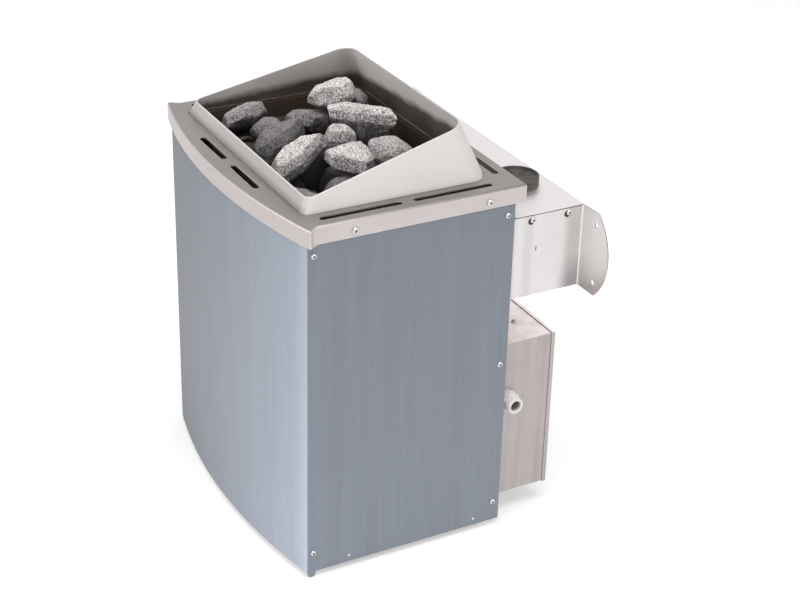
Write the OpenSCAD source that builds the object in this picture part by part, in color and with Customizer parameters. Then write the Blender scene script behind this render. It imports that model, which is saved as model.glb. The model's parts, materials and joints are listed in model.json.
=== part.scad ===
// Wall-hung sauna heater with an open stone collar, a steam water tank in its wall
// bracket and a terminal box behind the casing. Millimetres, +Z up, front towards -Y.

/* [Casing] */
// Width across the flat sides
body_w = 440; // [425:5:480]
// Depth of the flat sides, front fold to rear edge
body_d = 290; // [285:5:330]
// Height of the top plate above the surface that the heater stands on
top_h = 508; // [500:4:560]
// How far the front bows out ahead of the folds
bow = 27; // [20:1:36]
// Height of the casing's lower edge above that surface
foot_h = 8; // [6:1:12]
// Thickness of the casing and frame sheets
sheet = 1.5; // [1.2:0.1:1.8]

/* [Top frame] */
// Thickness of the slotted top plate
plate_t = 2; // [1.5:0.5:3]
// Height of the skirt folded down round the plate
skirt_h = 24; // [20:1:28]
// How far the plate reaches out ahead of the casing front
front_lap = 4; // [3:0.5:6]
// How far the plate reaches out behind the casing
rear_lap = 14; // [12:1:20]
// How far each front horn stands out beside the skirt
horn_w = 10; // [6:1:14]
// Length of a horn's slanted back edge along the side
horn_l = 13; // [10:1:20]
// Width of the air slots
slot_w = 9; // [6:0.5:10]
// Length of each front slot
front_slot_l = 79; // [50:1:90]
// Solid web between two side slots
slot_web = 16; // [12:1:20]
// Solid web between the two front slots
front_web = 23; // [16:1:40]

/* [Stone collar] */
// Distance of the collar's foot from each side of the casing
collar_side = 33; // [29:1:36]
// Distance of the collar's foot behind the front folds
collar_front = 10; // [9:1:12]
// Distance of the collar's foot from the casing's rear edge
collar_rear = 19; // [17:1:21]
// Height of the front lip above the plate
lip_h = 15; // [10:1:25]
// Slope of the rim from the front lip up to the rear, in degrees
rim_slope = 12.9; // [6:0.1:16]
// Inward lean of the side and rear walls, in degrees
wall_lean = 19.5; // [12:0.5:22]
// Inward lean of the front lip, in degrees
lip_lean = 26; // [16:0.5:30]
// Thickness of the collar sheet
collar_t = 2; // [1.5:0.1:2.5]
// Radius of the front corners
lip_r = 12; // [8:1:16]
// Radius of the rear corners
rear_r = 25; // [16:1:30]

/* [Stone chamber] */
// Distance of the chamber's inside within the collar's foot
chamber_in = 7; // [5:0.5:8]
// Height of the chamber's lower edge
chamber_z = 130; // [110:5:135]
// Diameter of the grate bars
bar_d = 8; // [6:1:9]
// Number of grate bars
bar_count = 11; // [7:1:13]
// Layers of stones between the grate and the element tops
stone_layers = 4; // [3:1:5]

/* [Heating elements] */
// Outer diameter of the tubular heating elements
element_d = 8; // [6.5:0.5:8.5]
// Bend radius of the upper loops
loop_r = 20; // [16:1:22]
// How far the loops stay below the top plate
element_drop = 22; // [18:2:40]

/* [Wall bracket] */
// Distance of each bracket side within the casing's side
bracket_in = 6; // [4:1:10]
// Distance from the casing's rear edge to the wall
standoff = 108; // [104:1:130]
// Height of the bracket cover above the standing surface
bracket_top = 460; // [455:1:470]
// Height of the bracket
bracket_h = 117; // [115:1:135]
// How far each wall ear reaches out beside the bracket
ear_w = 63; // [54:1:80]
// Diameter of the wall screw holes
ear_hole_d = 7; // [5:0.5:9]
// Height between the two holes of an ear
ear_pitch = 82; // [60:1:90]

/* [Water tank] */
// Distance of the water tank from each bracket side
tank_side = 49; // [44:1:54]
// Height of the water tank
tank_h = 92; // [86:1:94]
// Outer diameter of the filler cap
cap_d = 60; // [58:1:66]
// Height of the filler cap above the cover
cap_h = 12.5; // [10:0.5:18]
// Distance of the filler from the right bracket side
cap_side = 92; // [88:1:112]
// Distance of the filler behind the casing
cap_back = 61.5; // [54:0.5:64]
// Outer diameter of the filler neck
neck_d = 44; // [36:1:46]

/* [Terminal box] */
// Distance of the terminal box within each side of the casing
box_in = 20; // [16:1:22]
// Depth of the terminal box
box_d = 88; // [84:1:96]
// Height of the terminal box
box_h = 238; // [226:2:250]
// Height of the box's upper face above the standing surface
box_top = 269; // [262:1:290]
// Thickness of the box sheet
box_t = 1.2; // [1:0.1:1.5]
// Distance of the cable gland behind the casing
gland_back = 16; // [15.5:0.5:24]
// Height of the cable gland
gland_z = 184; // [150:1:200]
// Width across the flats of the gland's hexagons
gland_af = 24; // [23:1:26]
// Largest cable diameter that the gland takes
cable_d = 13; // [8:0.5:14]

/* [Hidden] */

$fn = 64;
// Facets round the large bowed front
bow_fn = 256;
// Overrun of a cut past the face that it opens
over = 1;
// Gap round a piece that slips inside another
fit = 0.2;
// Gap round a piece that slides or turns
running = 0.1;
// Gap under a piece that rests loosely
seat = 0.3;

// Casing, its base and its back
casing_top = top_h - plate_t;
wall_y = body_d + standoff;
fold_y = -(wall_y - bow - front_lap) / 2;
front_r = (body_w * body_w / 4 + bow * bow) / (2 * bow);
tab_l = 12;
tab_r = 5;
tab_back = 1;
base_top = foot_h + sheet;
base_lip = 20;
base_margin = 14;
base_bar = 22;
window_r = 10;
foot_tab_w = 40;
foot_tab_x = body_w / 3;
post_w = 15;
post_d = 18;
post_front = 4;
panel_lip = 20;
panel_w = body_w - 2 * sheet;
panel_top = top_h - skirt_h;

// Screws and rivets, and their places on the casing side
head_d = 8;
head_h = 2.4;
head_top_share = 0.62;
shank_d = 3.8;
shank_l = 7;
shank_end = 2;
skirt_head_d = 9.5;
rivet_d = 4;
rivet_h = 0.8;
rivet_shank_d = 2;
side_front_y = 9;
side_rear_in = 10.5;
side_low = 29.5;
side_high = 39.5;
skirt_front_y = 63.5;
skirt_rear_in = 38.7;
skirt_screw_up = 8.3;
rivet_front_y = 61;
rivet_rear_in = 40;
side_rear_y = body_d - side_rear_in;
side_low_z = foot_h + side_low;
side_high_z = top_h - side_high;
skirt_screw_ys = [skirt_front_y, body_d - skirt_rear_in];
skirt_screw_z = top_h - skirt_h + skirt_screw_up;
rivet_ys = [rivet_front_y, body_d - rivet_rear_in];
rivet_z = foot_h + base_lip / 2;
side_spots = [
  [side_front_y, side_low_z], [side_front_y, side_high_z], [side_rear_y, side_low_z],
  [side_rear_y, (side_low_z + side_high_z) / 2], [side_rear_y, side_high_z]
];

// Chamber, shield and collar
collar_w = body_w - 2 * collar_side;
collar_d = body_d - collar_front - collar_rear;
chamber_w = collar_w - 2 * chamber_in;
chamber_d = collar_d - 2 * chamber_in;
chamber_t = 1.5;
shield_t = 1;
shield_side = 9;
shield_lead = 6;
ledge_w = 8;
ledge_gap = 1;
cross_rod_shares = [0.25, 0.75];
rod_sink_share = 0.9;
shield_w = collar_w + 2 * shield_side;
shield_front = collar_front - shield_lead;
shield_d = collar_d + 2 * shield_lead;
chamber_y = collar_front + (collar_d - chamber_d) / 2;
chamber_back = chamber_y + chamber_d + chamber_t;
chamber_top = casing_top - collar_t;
shield_top = chamber_top - chamber_t;
grate_z = chamber_z + chamber_t + bar_d / 2;
grate_top = grate_z + bar_d / 2;
collar_top = lip_h + collar_d * tan(rim_slope);

// Air slots of the top plate
slot_lead = 14;
slot_tail = 7;
front_slot_y = -7;
side_slot_l = (collar_d - slot_lead - slot_tail - slot_web) / 2;
rear_slot_in = 0.2;
side_slot_x = (collar_w + body_w) / 4;
side_slot_front = collar_front + slot_lead;
rear_slot_y = (collar_front + collar_d + body_d + rear_lap - sheet) / 2 - sheet + rear_slot_in;

// Elements, from the front leg to the rear leg
element_pitch = chamber_w / 3;
leg_in = 29;
leg_rear_in = 38;
leg_front = chamber_y + leg_in;
leg_gap = 2 * loop_r;
low_loop_r = (chamber_d - leg_in - leg_rear_in - 2 * leg_gap) / 2;
elbow_r = 25;
loop_low = 250;
end_low_z = 150;
end_high_z = 190;
end_zs = [end_low_z, end_high_z];
tube_out = 20;
tube_end = body_d + tube_out;
loop_top = top_h - element_drop - element_d / 2 - loop_r;
pin_d = 4;
pin_low_l = 12;
pin_high_l = 22;
insulator_l = 4;
nut_af = 14;
nut_l = 8;
wire_d = 3;
lug_d = 9;
lug_t = 2;
lug_in = 4;
wire_ys = [tube_end + pin_low_l - lug_in, tube_end + pin_high_l - lug_in];

// Wall bracket
bracket_w = body_w - 2 * bracket_in;
bend_r = 3.5;
bracket_flange = 22;
ear_curve = 78;
ear_hole_in = 30;
cover_lip = 12;
mark_l = 6;
mark_w = 2;
mark_back = 38;
mark_drop = 50;
bracket_screw_back = 31;
bracket_screw_in = 22.5;
bracket_screw_drop = 8.5;
bracket_fix_in = 13;
bracket_fix_up = 20;
floor_up = 1;
bracket_z = bracket_top - bracket_h;
bracket_screw_ys = [body_d + bracket_screw_back, wall_y - bracket_screw_in];
bracket_screw_z = bracket_top - bracket_screw_drop;
bracket_fix_zs = [bracket_z + bracket_fix_up, bracket_top - bracket_fix_up];
floor_z = bracket_z + floor_up;
ear_x = bracket_w / 2 + ear_w - ear_hole_in;

// Water tank, its heater, duct and filler
tank_w = bracket_w - 2 * tank_side;
tank_t = 1.2;
tank_r = 12;
tank_lead = 10;
tank_rear_in = 7;
tank_front = body_d + tank_lead;
tank_depth = standoff - tank_lead - tank_rear_in;
tank_z = floor_z + sheet;
tank_top = tank_z + tank_h;
duct_w = 122;
duct_h = 20;
duct_t = 1;
duct_drop = 28;
duct_reach = 2.5;
cap_x = bracket_w / 2 - cap_side;
neck_t = 3;
gasket_t = 1.5;
cap_wall = 3;
cap_roof = 3.5;
cap_grooves = 3;
groove_d = 1.4;
dish_depth = 2;
neck_top = bracket_top + cap_h - cap_roof - gasket_t;
hairpin_d = 8;
hairpin_r = 8;
hairpin_in = 80;
hairpin_l = tank_w - hairpin_in;
hairpin_up = 14;
plate_lead = 4;
plate_w = 38;
plate_h = 20;
hairpin_pin_l = 16;
hairpin_z = tank_z + hairpin_up;
conduit_r = 12;
conduit_t = 1;
conduit_side = 15;
conduit_back = 30;
conduit_x = -tank_w / 2 - conduit_side;
conduit_y = body_d + conduit_back;

// Terminal box and what it holds
box_w = body_w - 2 * box_in;
box_z = box_top - box_h;
cover_side = 6;
box_flange = 14;
block_up = 39;
block_d = 43;
block_h = 25;
block_z = box_z + block_up;
block_back = body_d + box_t + block_d;
pole_w = 26;
pole_gap = 4;
port_depth = 8;
clamp_d = 7;
clamp_depth = 6;
clamp_up = 7;
clamp_in = 1;
pole_xs = [conduit_x, -element_pitch, 0, element_pitch];
cover_screw_in = 5;
cover_screw_low = 26.5;
box_fix_in = 30;
box_fix_up = 20;
box_screw_x = box_w / 2 - box_t - cover_screw_in;
box_screw_zs = [box_top - cover_screw_in, box_top - cover_screw_low];
earth_d = 5;
earth_l = 30;
earth_gap = 14;
earth_nut_af = 8;
earth_nut_l = 4;
earth_out = 42;
earth_x = element_pitch + earth_out;
earth_z = block_z + block_h / 2;
top_screw_in = 50;
top_screw_x = box_w / 2 - top_screw_in;
top_screw_back = 53;
top_screw_y = body_d + top_screw_back;
cutout_w = 40;
cutout_d = 30;
cutout_h = 26;
button_d = 8;
button_out = 5;
button_in = 6;
button_stroke = 2;
capillary_d = 2.4;
bulb_d = 6;
bulb_l = 90;
cutout_top = box_top - 2 * box_t;
sensor_z = cutout_top - cutout_h / 2;
button_y = top_screw_y + cutout_d / 2;

// Cable gland, measured along X from the outside of the box wall
gland_x = box_w / 2 - box_t;
gland_y = body_d + gland_back;
gland_hex_l = 5;
gland_collar_l = 8;
gland_thread_d = 20;
gland_collar_d = 19;
gland_tail_l = 10;
gland_nut_l = 20;
gland_nut_hex_l = 8;
gland_lip_l = 4.5;
gland_mouth_d = 15;
gland_ring_d = 22.4;
gland_lock_l = 4;
gland_lock_af = 26;
gland_seal_l = 7;
gland_seal_d = 18;

// Places the drawing, whose origin is the middle of the front folds, about the centre
module placed() { translate([0, fold_y, 0]) children(); }

// Repeats a shape on both sides
module both_sides() { for (side = [0, 1]) mirror([side, 0, 0]) children(); }

// Plan of the casing, drawn in by inset, back to the given depth
module casing_plan(inset, back) {
  intersection() {
    translate([inset - body_w / 2, -bow - over]) square([body_w - 2 * inset, back + bow + over]);
    translate([0, front_r - bow]) circle(front_r - inset, $fn = bow_fn);
  }
}

// Slot with round ends, centred, lying along X
module slot_2d(l, w) {
  square([l - w, w], center = true);
  for (end = [-1, 1]) translate([end * (l - w) / 2, 0]) circle(w / 2);
}

// Rectangle from the front edge y = 0 back to d, with front and rear corner radii
module cornered_2d(w, d, r_front, r_back) {
  difference() {
    translate([-w / 2, 0]) square([w, d]);
    both_sides() {
      corner_cut(w / 2, 0, r_front, 1);
      corner_cut(w / 2, d, r_back, -1);
    }
  }
}

// What a round corner takes off a square one; way is 1 at the front and -1 at the back
module corner_cut(x, y, r, way) {
  difference() {
    translate([x - r, way > 0 ? y - over : y - r]) square([r + over, r + over]);
    translate([x - r, y + way * r]) circle(r);
  }
}

// Round bar along Y between two depths
module rod_y(x, y0, y1, z, d) {
  translate([x, y0, z]) rotate([-90, 0, 0]) cylinder(h = y1 - y0, d = d);
}

// Round bar along +X from the origin
module rod_x(l, d) {
  rotate([0, 90, 0]) cylinder(h = l, d = d);
}

// Hexagonal prism along +X from the origin
module hex_x(af, l) {
  rotate([0, 90, 0]) cylinder(h = l, d = af / cos(30), $fn = 6);
}

// Pan-head screw along +X with its head's underside at the origin
module pan_screw(d, l = shank_l) {
  rotate([0, 90, 0]) {
    cylinder(h = head_h / 2, d = d);
    translate([0, 0, head_h / 2]) cylinder(h = head_h / 2, d1 = d, d2 = d * head_top_share);
  }
  rotate([0, -90, 0]) cylinder(h = l, d = shank_d);
}

// Hole along X through a sheet whose near face is at x
module hole_x(x, y, z, t, d = shank_d + fit) {
  translate([x - over, y, z]) rod_x(t + 2 * over, d);
}

// Hole along Y through a sheet whose near face is at y
module hole_y(x, y, z, t, d = shank_d + fit) {
  rod_y(x, y - over, y + t + over, z, d);
}

// Casing: one wrapped sheet with a bowed front, flat sides and an open back
module outer_casing() color("#8b96a5") placed() {
  difference() {
    translate([0, 0, foot_h]) linear_extrude(casing_top - foot_h) casing_plan(0, body_d);
    translate([0, 0, foot_h - over]) linear_extrude(top_h) casing_plan(sheet, body_d + over);
    both_sides() {
      for (p = side_spots) hole_x(body_w / 2 - sheet, p[0], p[1], sheet);
      for (y = skirt_screw_ys) hole_x(body_w / 2 - sheet, y, skirt_screw_z, sheet);
      for (y = rivet_ys) hole_x(body_w / 2 - sheet, y, rivet_z, sheet, rivet_shank_d + fit);
    }
  }
  both_sides() translate([body_w / 2 - sheet, tab_back, 0]) foot_tab();
}

// Round-ended tab under the front corner of a side
module foot_tab() {
  rotate([90, 0, 90]) linear_extrude(sheet) {
    translate([tab_l / 2, tab_r]) slot_2d(tab_l, 2 * tab_r);
    translate([0, tab_r]) square([tab_l, foot_h]);
  }
}

// Bottom pan with air inlets, an upturned rim and two rear foot tabs
module base_plate() color("#b9bcc0") placed() {
  inset = sheet + fit;
  difference() {
    translate([0, 0, foot_h]) linear_extrude(base_lip) casing_plan(inset, body_d - inset);
    translate([0, 0, base_top]) linear_extrude(base_lip) casing_plan(inset + sheet, body_d + over);
    translate([-body_w / 2, body_d - panel_lip - fit, base_top])
      cube([body_w, panel_lip + over, base_lip]);
    translate([0, 0, foot_h - over]) linear_extrude(sheet + 2 * over) {
      base_windows();
      both_sides() side_slots((shield_w + panel_w) / 4);
    }
    both_sides() for (y = rivet_ys)
      hole_x(body_w / 2 - inset - sheet, y, rivet_z, sheet, rivet_shank_d + fit);
  }
  both_sides() translate([foot_tab_x - foot_tab_w / 2, body_d - inset - sheet, 0])
    cube([foot_tab_w, sheet, foot_h + sheet]);
}

// Four large inlets under the stone chamber
module base_windows() {
  w = (shield_w - base_bar) / 2 - base_margin;
  d = (shield_d - base_bar) / 2 - base_margin;
  both_sides() for (y = [base_margin, (shield_d + base_bar) / 2])
    translate([(w + base_bar) / 2, shield_front + y]) cornered_2d(w, d, window_r, window_r);
}

// Pair of slots along one side at the given distance from the middle
module side_slots(x) {
  for (i = [0, 1])
    translate([x, side_slot_front + side_slot_l / 2 + i * (side_slot_l + slot_web)])
      rotate(90) slot_2d(side_slot_l, slot_w);
}

// Back sheet of the casing with side flanges, element holes and the steam window
module rear_panel() color("#b4b7ba") placed() {
  difference() {
    translate([-panel_w / 2, body_d - panel_lip, base_top])
      cube([panel_w, panel_lip, panel_top - base_top]);
    translate([sheet - panel_w / 2, body_d - panel_lip - over, base_top - over])
      cube([panel_w - 2 * sheet, panel_lip + over - sheet, panel_top]);
    both_sides() for (p = side_spots)
      if (p[0] > body_d / 2) hole_x(panel_w / 2 - sheet, p[0], p[1], sheet);
    element_holes(body_d - sheet, sheet);
    hole_y(top_screw_x, body_d - sheet, sensor_z, sheet, capillary_d + fit);
    box_fixings() hole_y(0, body_d - sheet, 0, sheet);
    bracket_fixings() hole_y(0, body_d - sheet, 0, sheet);
    translate([-duct_w / 2 - fit, body_d - sheet - over, tank_top - duct_drop - fit])
      cube([duct_w + 2 * fit, sheet + 2 * over, duct_h + 2 * fit]);
  }
}

// Places of the screws that hold the terminal box to the rear panel
module box_fixings() {
  for (x = [-1, 1], z = [box_z + box_fix_up, box_top - box_fix_up])
    translate([x * (box_w / 2 - box_fix_in), 0, z]) children();
}

// Places of the screws that hold the wall bracket to the rear panel
module bracket_fixings() {
  for (x = [-1, 1], z = bracket_fix_zs)
    translate([x * (bracket_w / 2 - bracket_fix_in), 0, z]) children();
}

// Two folded posts in the front corners, between the base and the top plate
module front_posts() color("#aeb1b5") placed() {
  outer = panel_w / 2;
  both_sides() difference() {
    translate([outer - post_w, post_front, base_top]) cube([post_w, post_d, casing_top - base_top]);
    translate([outer - post_w - over, post_front - over, base_top - over])
      cube([post_w + over - sheet, post_d + over - sheet, top_h]);
    translate([outer - sheet - over, post_front - over, base_top - over])
      cube([sheet + 2 * over, post_d + 2 * over, base_lip - sheet + over + seat]);
    for (p = side_spots)
      if (p[0] < body_d / 2) hole_x(outer - sheet, p[0], p[1], sheet);
  }
}

// Inner shield that keeps the casing cool, open at the top and bottom
module heat_shield() color("#a3a6a9") placed() {
  difference() {
    translate([-shield_w / 2, shield_front, base_top])
      cube([shield_w, shield_d, shield_top - base_top]);
    translate([shield_t - shield_w / 2, shield_front + shield_t, base_top - over])
      cube([shield_w - 2 * shield_t, shield_d - 2 * shield_t, top_h]);
    element_holes(shield_front + shield_d - shield_t, shield_t);
    hole_y(top_screw_x, shield_front + shield_d - shield_t, sensor_z, shield_t, capillary_d + fit);
  }
}

// Repeats a shape at each of the six element ends
module at_element_ends() {
  for (x = [-1 : 1], z = end_zs) translate([x * element_pitch, 0, z]) children();
}

// Six holes for the element tubes through a sheet whose front face is at y
module element_holes(y, t) {
  at_element_ends() hole_y(0, y, 0, t, element_d + fit);
}

// Open chamber that holds the stones, with a top flange and a ledge for the grate
module stone_chamber() color("#6a6260") placed() {
  outer_w = chamber_w + 2 * chamber_t;
  difference() {
    union() {
      translate([-outer_w / 2, chamber_y - chamber_t, chamber_z])
        cube([outer_w, chamber_d + 2 * chamber_t, chamber_top - chamber_z]);
      translate([-shield_w / 2, shield_front, shield_top]) cube([shield_w, shield_d, chamber_t]);
    }
    translate([-chamber_w / 2, chamber_y, chamber_z + chamber_t])
      cube([chamber_w, chamber_d, top_h]);
    translate([ledge_w - chamber_w / 2, chamber_y + ledge_w, chamber_z - over])
      cube([chamber_w - 2 * ledge_w, chamber_d - 2 * ledge_w, top_h]);
    element_holes(chamber_y + chamber_d, chamber_t);
  }
}

// Grate of round bars welded on two cross rods
module stone_grate() color("#5d5856") placed() {
  span = chamber_w - 2 * ledge_w - bar_d;
  rod_l = chamber_w - 2 * ledge_w - 2 * ledge_gap;
  for (i = [0 : bar_count - 1])
    rod_y((i / (bar_count - 1) - 1 / 2) * span, chamber_y + ledge_gap,
          chamber_y + chamber_d - ledge_gap, grate_z, bar_d);
  for (s = cross_rod_shares)
    translate([-rod_l / 2, chamber_y + chamber_d * s, grate_z - bar_d * rod_sink_share])
      rod_x(rod_l, bar_d);
}

// Bend of tube in the YZ plane about the origin, from angle a0 over a
module bend(r, a0, a) {
  rotate([90, 0, 90]) rotate(a0) rotate_extrude(angle = a) translate([r, 0]) circle(d = element_d);
}

// Upright stretch of tube
module riser(y, z0, z1) {
  translate([0, y, z0]) cylinder(h = z1 - z0, d = element_d);
}

// Tubular heating element with four legs, two upper loops and one lower loop; both
// of its cold ends run back through the chamber wall into the terminal box
module heating_element(place) color("#4a4341") placed() translate([place * element_pitch, 0, 0]) {
  y1 = leg_front;
  y2 = y1 + leg_gap;
  y3 = y2 + 2 * low_loop_r;
  y4 = y3 + leg_gap;
  rod_y(0, y1 + elbow_r, tube_end, end_low_z, element_d);
  translate([0, y1 + elbow_r, end_low_z + elbow_r]) bend(elbow_r, 180, 90);
  riser(y1, end_low_z + elbow_r, loop_top);
  translate([0, y1 + loop_r, loop_top]) bend(loop_r, 0, 180);
  riser(y2, loop_low, loop_top);
  translate([0, y2 + low_loop_r, loop_low]) bend(low_loop_r, 180, 180);
  riser(y3, loop_low, loop_top);
  translate([0, y3 + loop_r, loop_top]) bend(loop_r, 0, 180);
  riser(y4, end_high_z + elbow_r, loop_top);
  translate([0, y4 + elbow_r, end_high_z + elbow_r]) bend(elbow_r, 180, 90);
  rod_y(0, y4 + elbow_r, tube_end, end_high_z, element_d);
  rod_y(0, tube_end, tube_end + pin_low_l, end_low_z, pin_d);
  rod_y(0, tube_end, tube_end + pin_high_l, end_high_z, pin_d);
}

module heating_element_left() heating_element(-1);
module heating_element_middle() heating_element(0);
module heating_element_right() heating_element(1);

// Brass nuts that clamp the element ends to the terminal box wall
module element_nuts() color("#b8964e") placed() {
  at_element_ends() difference() {
    translate([0, body_d + box_t, 0]) rotate(90) hex_x(nut_af, nut_l);
    hole_y(0, body_d + box_t, 0, nut_l, element_d + fit);
  }
}

// Ceramic beads round the element pins
module element_insulators() color("#efeae0") placed() {
  at_element_ends() difference() {
    rod_y(0, tube_end, tube_end + insulator_l, 0, element_d);
    hole_y(0, tube_end, 0, insulator_l, pin_d + fit);
  }
}

// Insulated wires from the element pins straight down into the terminal block
module element_wires() color("#c9c4bb") placed() {
  for (x = [-1 : 1], i = [0, 1])
    translate([x * element_pitch, wire_ys[i], end_zs[i]]) drop_wire(end_zs[i]);
}

// Wire hung from a ring lug on a pin along Y, down to its port in the block
module drop_wire(z) {
  foot_z = block_z + block_h - port_depth;
  difference() {
    union() {
      rod_y(0, -lug_t / 2, lug_t / 2, 0, lug_d);
      translate([0, 0, foot_z - z]) cylinder(h = z - foot_z - pin_d, d = wire_d);
    }
    hole_y(0, -lug_t / 2, 0, lug_t, pin_d + fit);
  }
}

// Outline of the top frame, drawn in by inset, with a horn at each front corner
module frame_plan(inset) {
  side = body_w / 2 + sheet - inset;
  front = -bow - front_lap - over;
  back = body_d + rear_lap - inset;
  slope = horn_l / horn_w;
  slant = inset * (slope - sqrt(1 + slope * slope));
  half = [[side + horn_w, front], [side + horn_w, slant], [side, slant + horn_l], [side, back]];
  intersection() {
    polygon([each half, for (i = [len(half) - 1 : -1 : 0]) [-half[i][0], half[i][1]]]);
    translate([0, front_r - bow]) circle(front_r + front_lap - inset, $fn = bow_fn);
  }
}

// Slotted top plate with its skirt
module top_frame() color("#a8a19c") placed() {
  spread = plate_t * tan(wall_lean) + seat;
  lead = plate_t * tan(lip_lean) + seat;
  difference() {
    translate([0, 0, top_h - skirt_h]) linear_extrude(skirt_h) frame_plan(0);
    translate([0, 0, top_h - skirt_h - over]) linear_extrude(skirt_h + over - plate_t)
      frame_plan(sheet);
    translate([0, 0, top_h - skirt_h]) linear_extrude(2 * skirt_h) {
      translate([0, collar_front - lead])
        cornered_2d(collar_w + 2 * spread, collar_d + spread + lead, lip_r, rear_r);
      air_slots();
    }
    both_sides() for (y = skirt_screw_ys) hole_x(body_w / 2, y, skirt_screw_z, sheet);
  }
}

// Two slots in front, two along each side and two behind the collar
module air_slots() {
  both_sides() {
    translate([(front_slot_l + front_web) / 2, front_slot_y]) slot_2d(front_slot_l, slot_w);
    side_slots(side_slot_x);
    translate([(collar_w - side_slot_l) / 2 - slot_w, rear_slot_y]) slot_2d(side_slot_l, slot_w);
  }
}

// Leaning shell from a level below the plate to one above the rim, drawn in by inset
module collar_shell(inset, low) {
  back = collar_front + collar_d;
  hull() both_sides() for (z = [low, collar_top]) {
    side = collar_w / 2 - z * tan(wall_lean);
    translate([side - lip_r, collar_front + z * tan(lip_lean) + lip_r, z])
      cylinder(h = collar_t / 4, r = lip_r - inset);
    translate([side - rear_r, back - z * tan(wall_lean) - rear_r, z])
      cylinder(h = collar_t / 4, r = rear_r - inset);
  }
}

// Stone collar: thin leaning walls, cut off by a rim that climbs to the rear
module stone_collar() color("#b9b4b0") placed() translate([0, 0, top_h]) {
  difference() {
    collar_shell(0, -plate_t);
    collar_shell(collar_t, -plate_t - over);
    translate([-body_w / 2, collar_front, lip_h]) rotate([rim_slope, 0, 0])
      translate([0, -body_d, 0]) cube([body_w, 3 * body_d, body_d]);
  }
  translate([0, 0, -plate_t - collar_t]) linear_extrude(collar_t) difference() {
    translate([0, shield_front]) cornered_2d(shield_w, shield_d, lip_r, rear_r);
    translate([0, collar_front + collar_t / 2])
      cornered_2d(collar_w - collar_t, collar_d - collar_t, lip_r, rear_r - collar_t);
  }
}

// Steady scatter between -1 and 1 for the shape of a stone
function scatter(i, seed) = sin(i * 137.5 + seed * 71.3 + 23.8) * cos(i * 53.1 - seed * 29.7 - 9.9);

stone_sides = 6;
girth_shares = [0.66, 0.9, 0.88, 0.6];
height_shares = [0, 0.28, 0.7, 1];
turn_share = 0.25;
swell_share = 0.11;

// One ring of a stone's points at height z, spread being its share of the girth
function stone_ring(size, spread, z, seed) = [
  for (i = [0 : stone_sides - 1])
    let (a = (i + scatter(i, seed) * turn_share) * 360 / stone_sides)
    let (r = spread / 2 * (1 + scatter(i + stone_sides, seed) * swell_share))
      [size[0] * r * cos(a), size[1] * r * sin(a), z]
];

// Rough stone with a flat bed and a flat top
module stone(size, seed) {
  rings = len(girth_shares);
  n = stone_sides;
  points = [for (k = [0 : rings - 1])
    each stone_ring(size, girth_shares[k], size[2] * height_shares[k], seed)];
  sides = [for (k = [0 : rings - 2], i = [0 : n - 1])
    let (j = (i + 1) % n, a = k * n, b = a + n) each [[a + i, b + i, b + j], [a + i, b + j, a + j]]];
  bed = [for (i = [0 : n - 1]) i];
  top = [for (i = [0 : n - 1]) rings * n - 1 - i];
  polyhedron(points, concat([bed, top], sides));
}

// Loose stones on top of the bed: middle and size as shares of the chamber's width and depth
// and of a filling layer's height, then tilt, roll and turn in degrees
top_stone_shares = [
  [-0.2581, 0.7045, 0.5865, 0.149, 0.354, 0.3866, [5.3, 0.8, -1.5]],
  [-0.3205, 0.8734, 0.2431, 0.164, 0.175, 0.4378, [12.4, 5.8, 2.7]],
  [-0.0121, 0.6638, 0.6176, 0.091, 0.622, 0.3223, [-1.2, -8.5, -41.7]],
  [-0.0664, 0.8013, 0.2077, 0.185, 0.25, 0.4008, [1.7, 1.8, -18.1]],
  [-0.3977, 0.2501, 0.2121, 0.087, 0.53, 0.3844, [-7.3, 18.6, 26.1]],
  [-0.2747, 0.3079, 0.148, 0.129, 0.23, 0.3077, [-2.8, 0.4, 9.8]],
  [-0.2806, 0.5597, 0.1738, 0.179, 0.326, 0.339, [-8.7, -17.8, -0.4]],
  [-0.0795, 0.2495, 0.2813, 0.142, 0.529, 0.4868, [5.6, -0.5, 28.9]],
  [0.0995, 0.2225, 0.3103, 0.119, 0.599, 0.3905, [17.7, 5.3, 24.4]],
  [0.0206, 0.5397, 0.2796, 0.138, 0.221, 0.54, [3.3, 1.1, -3.8]],
  [0.2595, 0.4294, 0.4736, 0.231, 0.295, 0.3701, [-5, -3.1, -4.5]],
  [0.2316, 0.6718, 0.3258, 0.192, 0.315, 0.5544, [10.9, 0, -25.5]],
  [0.3364, 0.0935, 0.1201, 0.291, 0.164, 0.2031, [0.1, -2.9, 6]],
  [0.3078, 0.3484, 0.1067, 0.133, 0.296, 0.3339, [3.7, -2.6, 13.6]]
];

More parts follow.
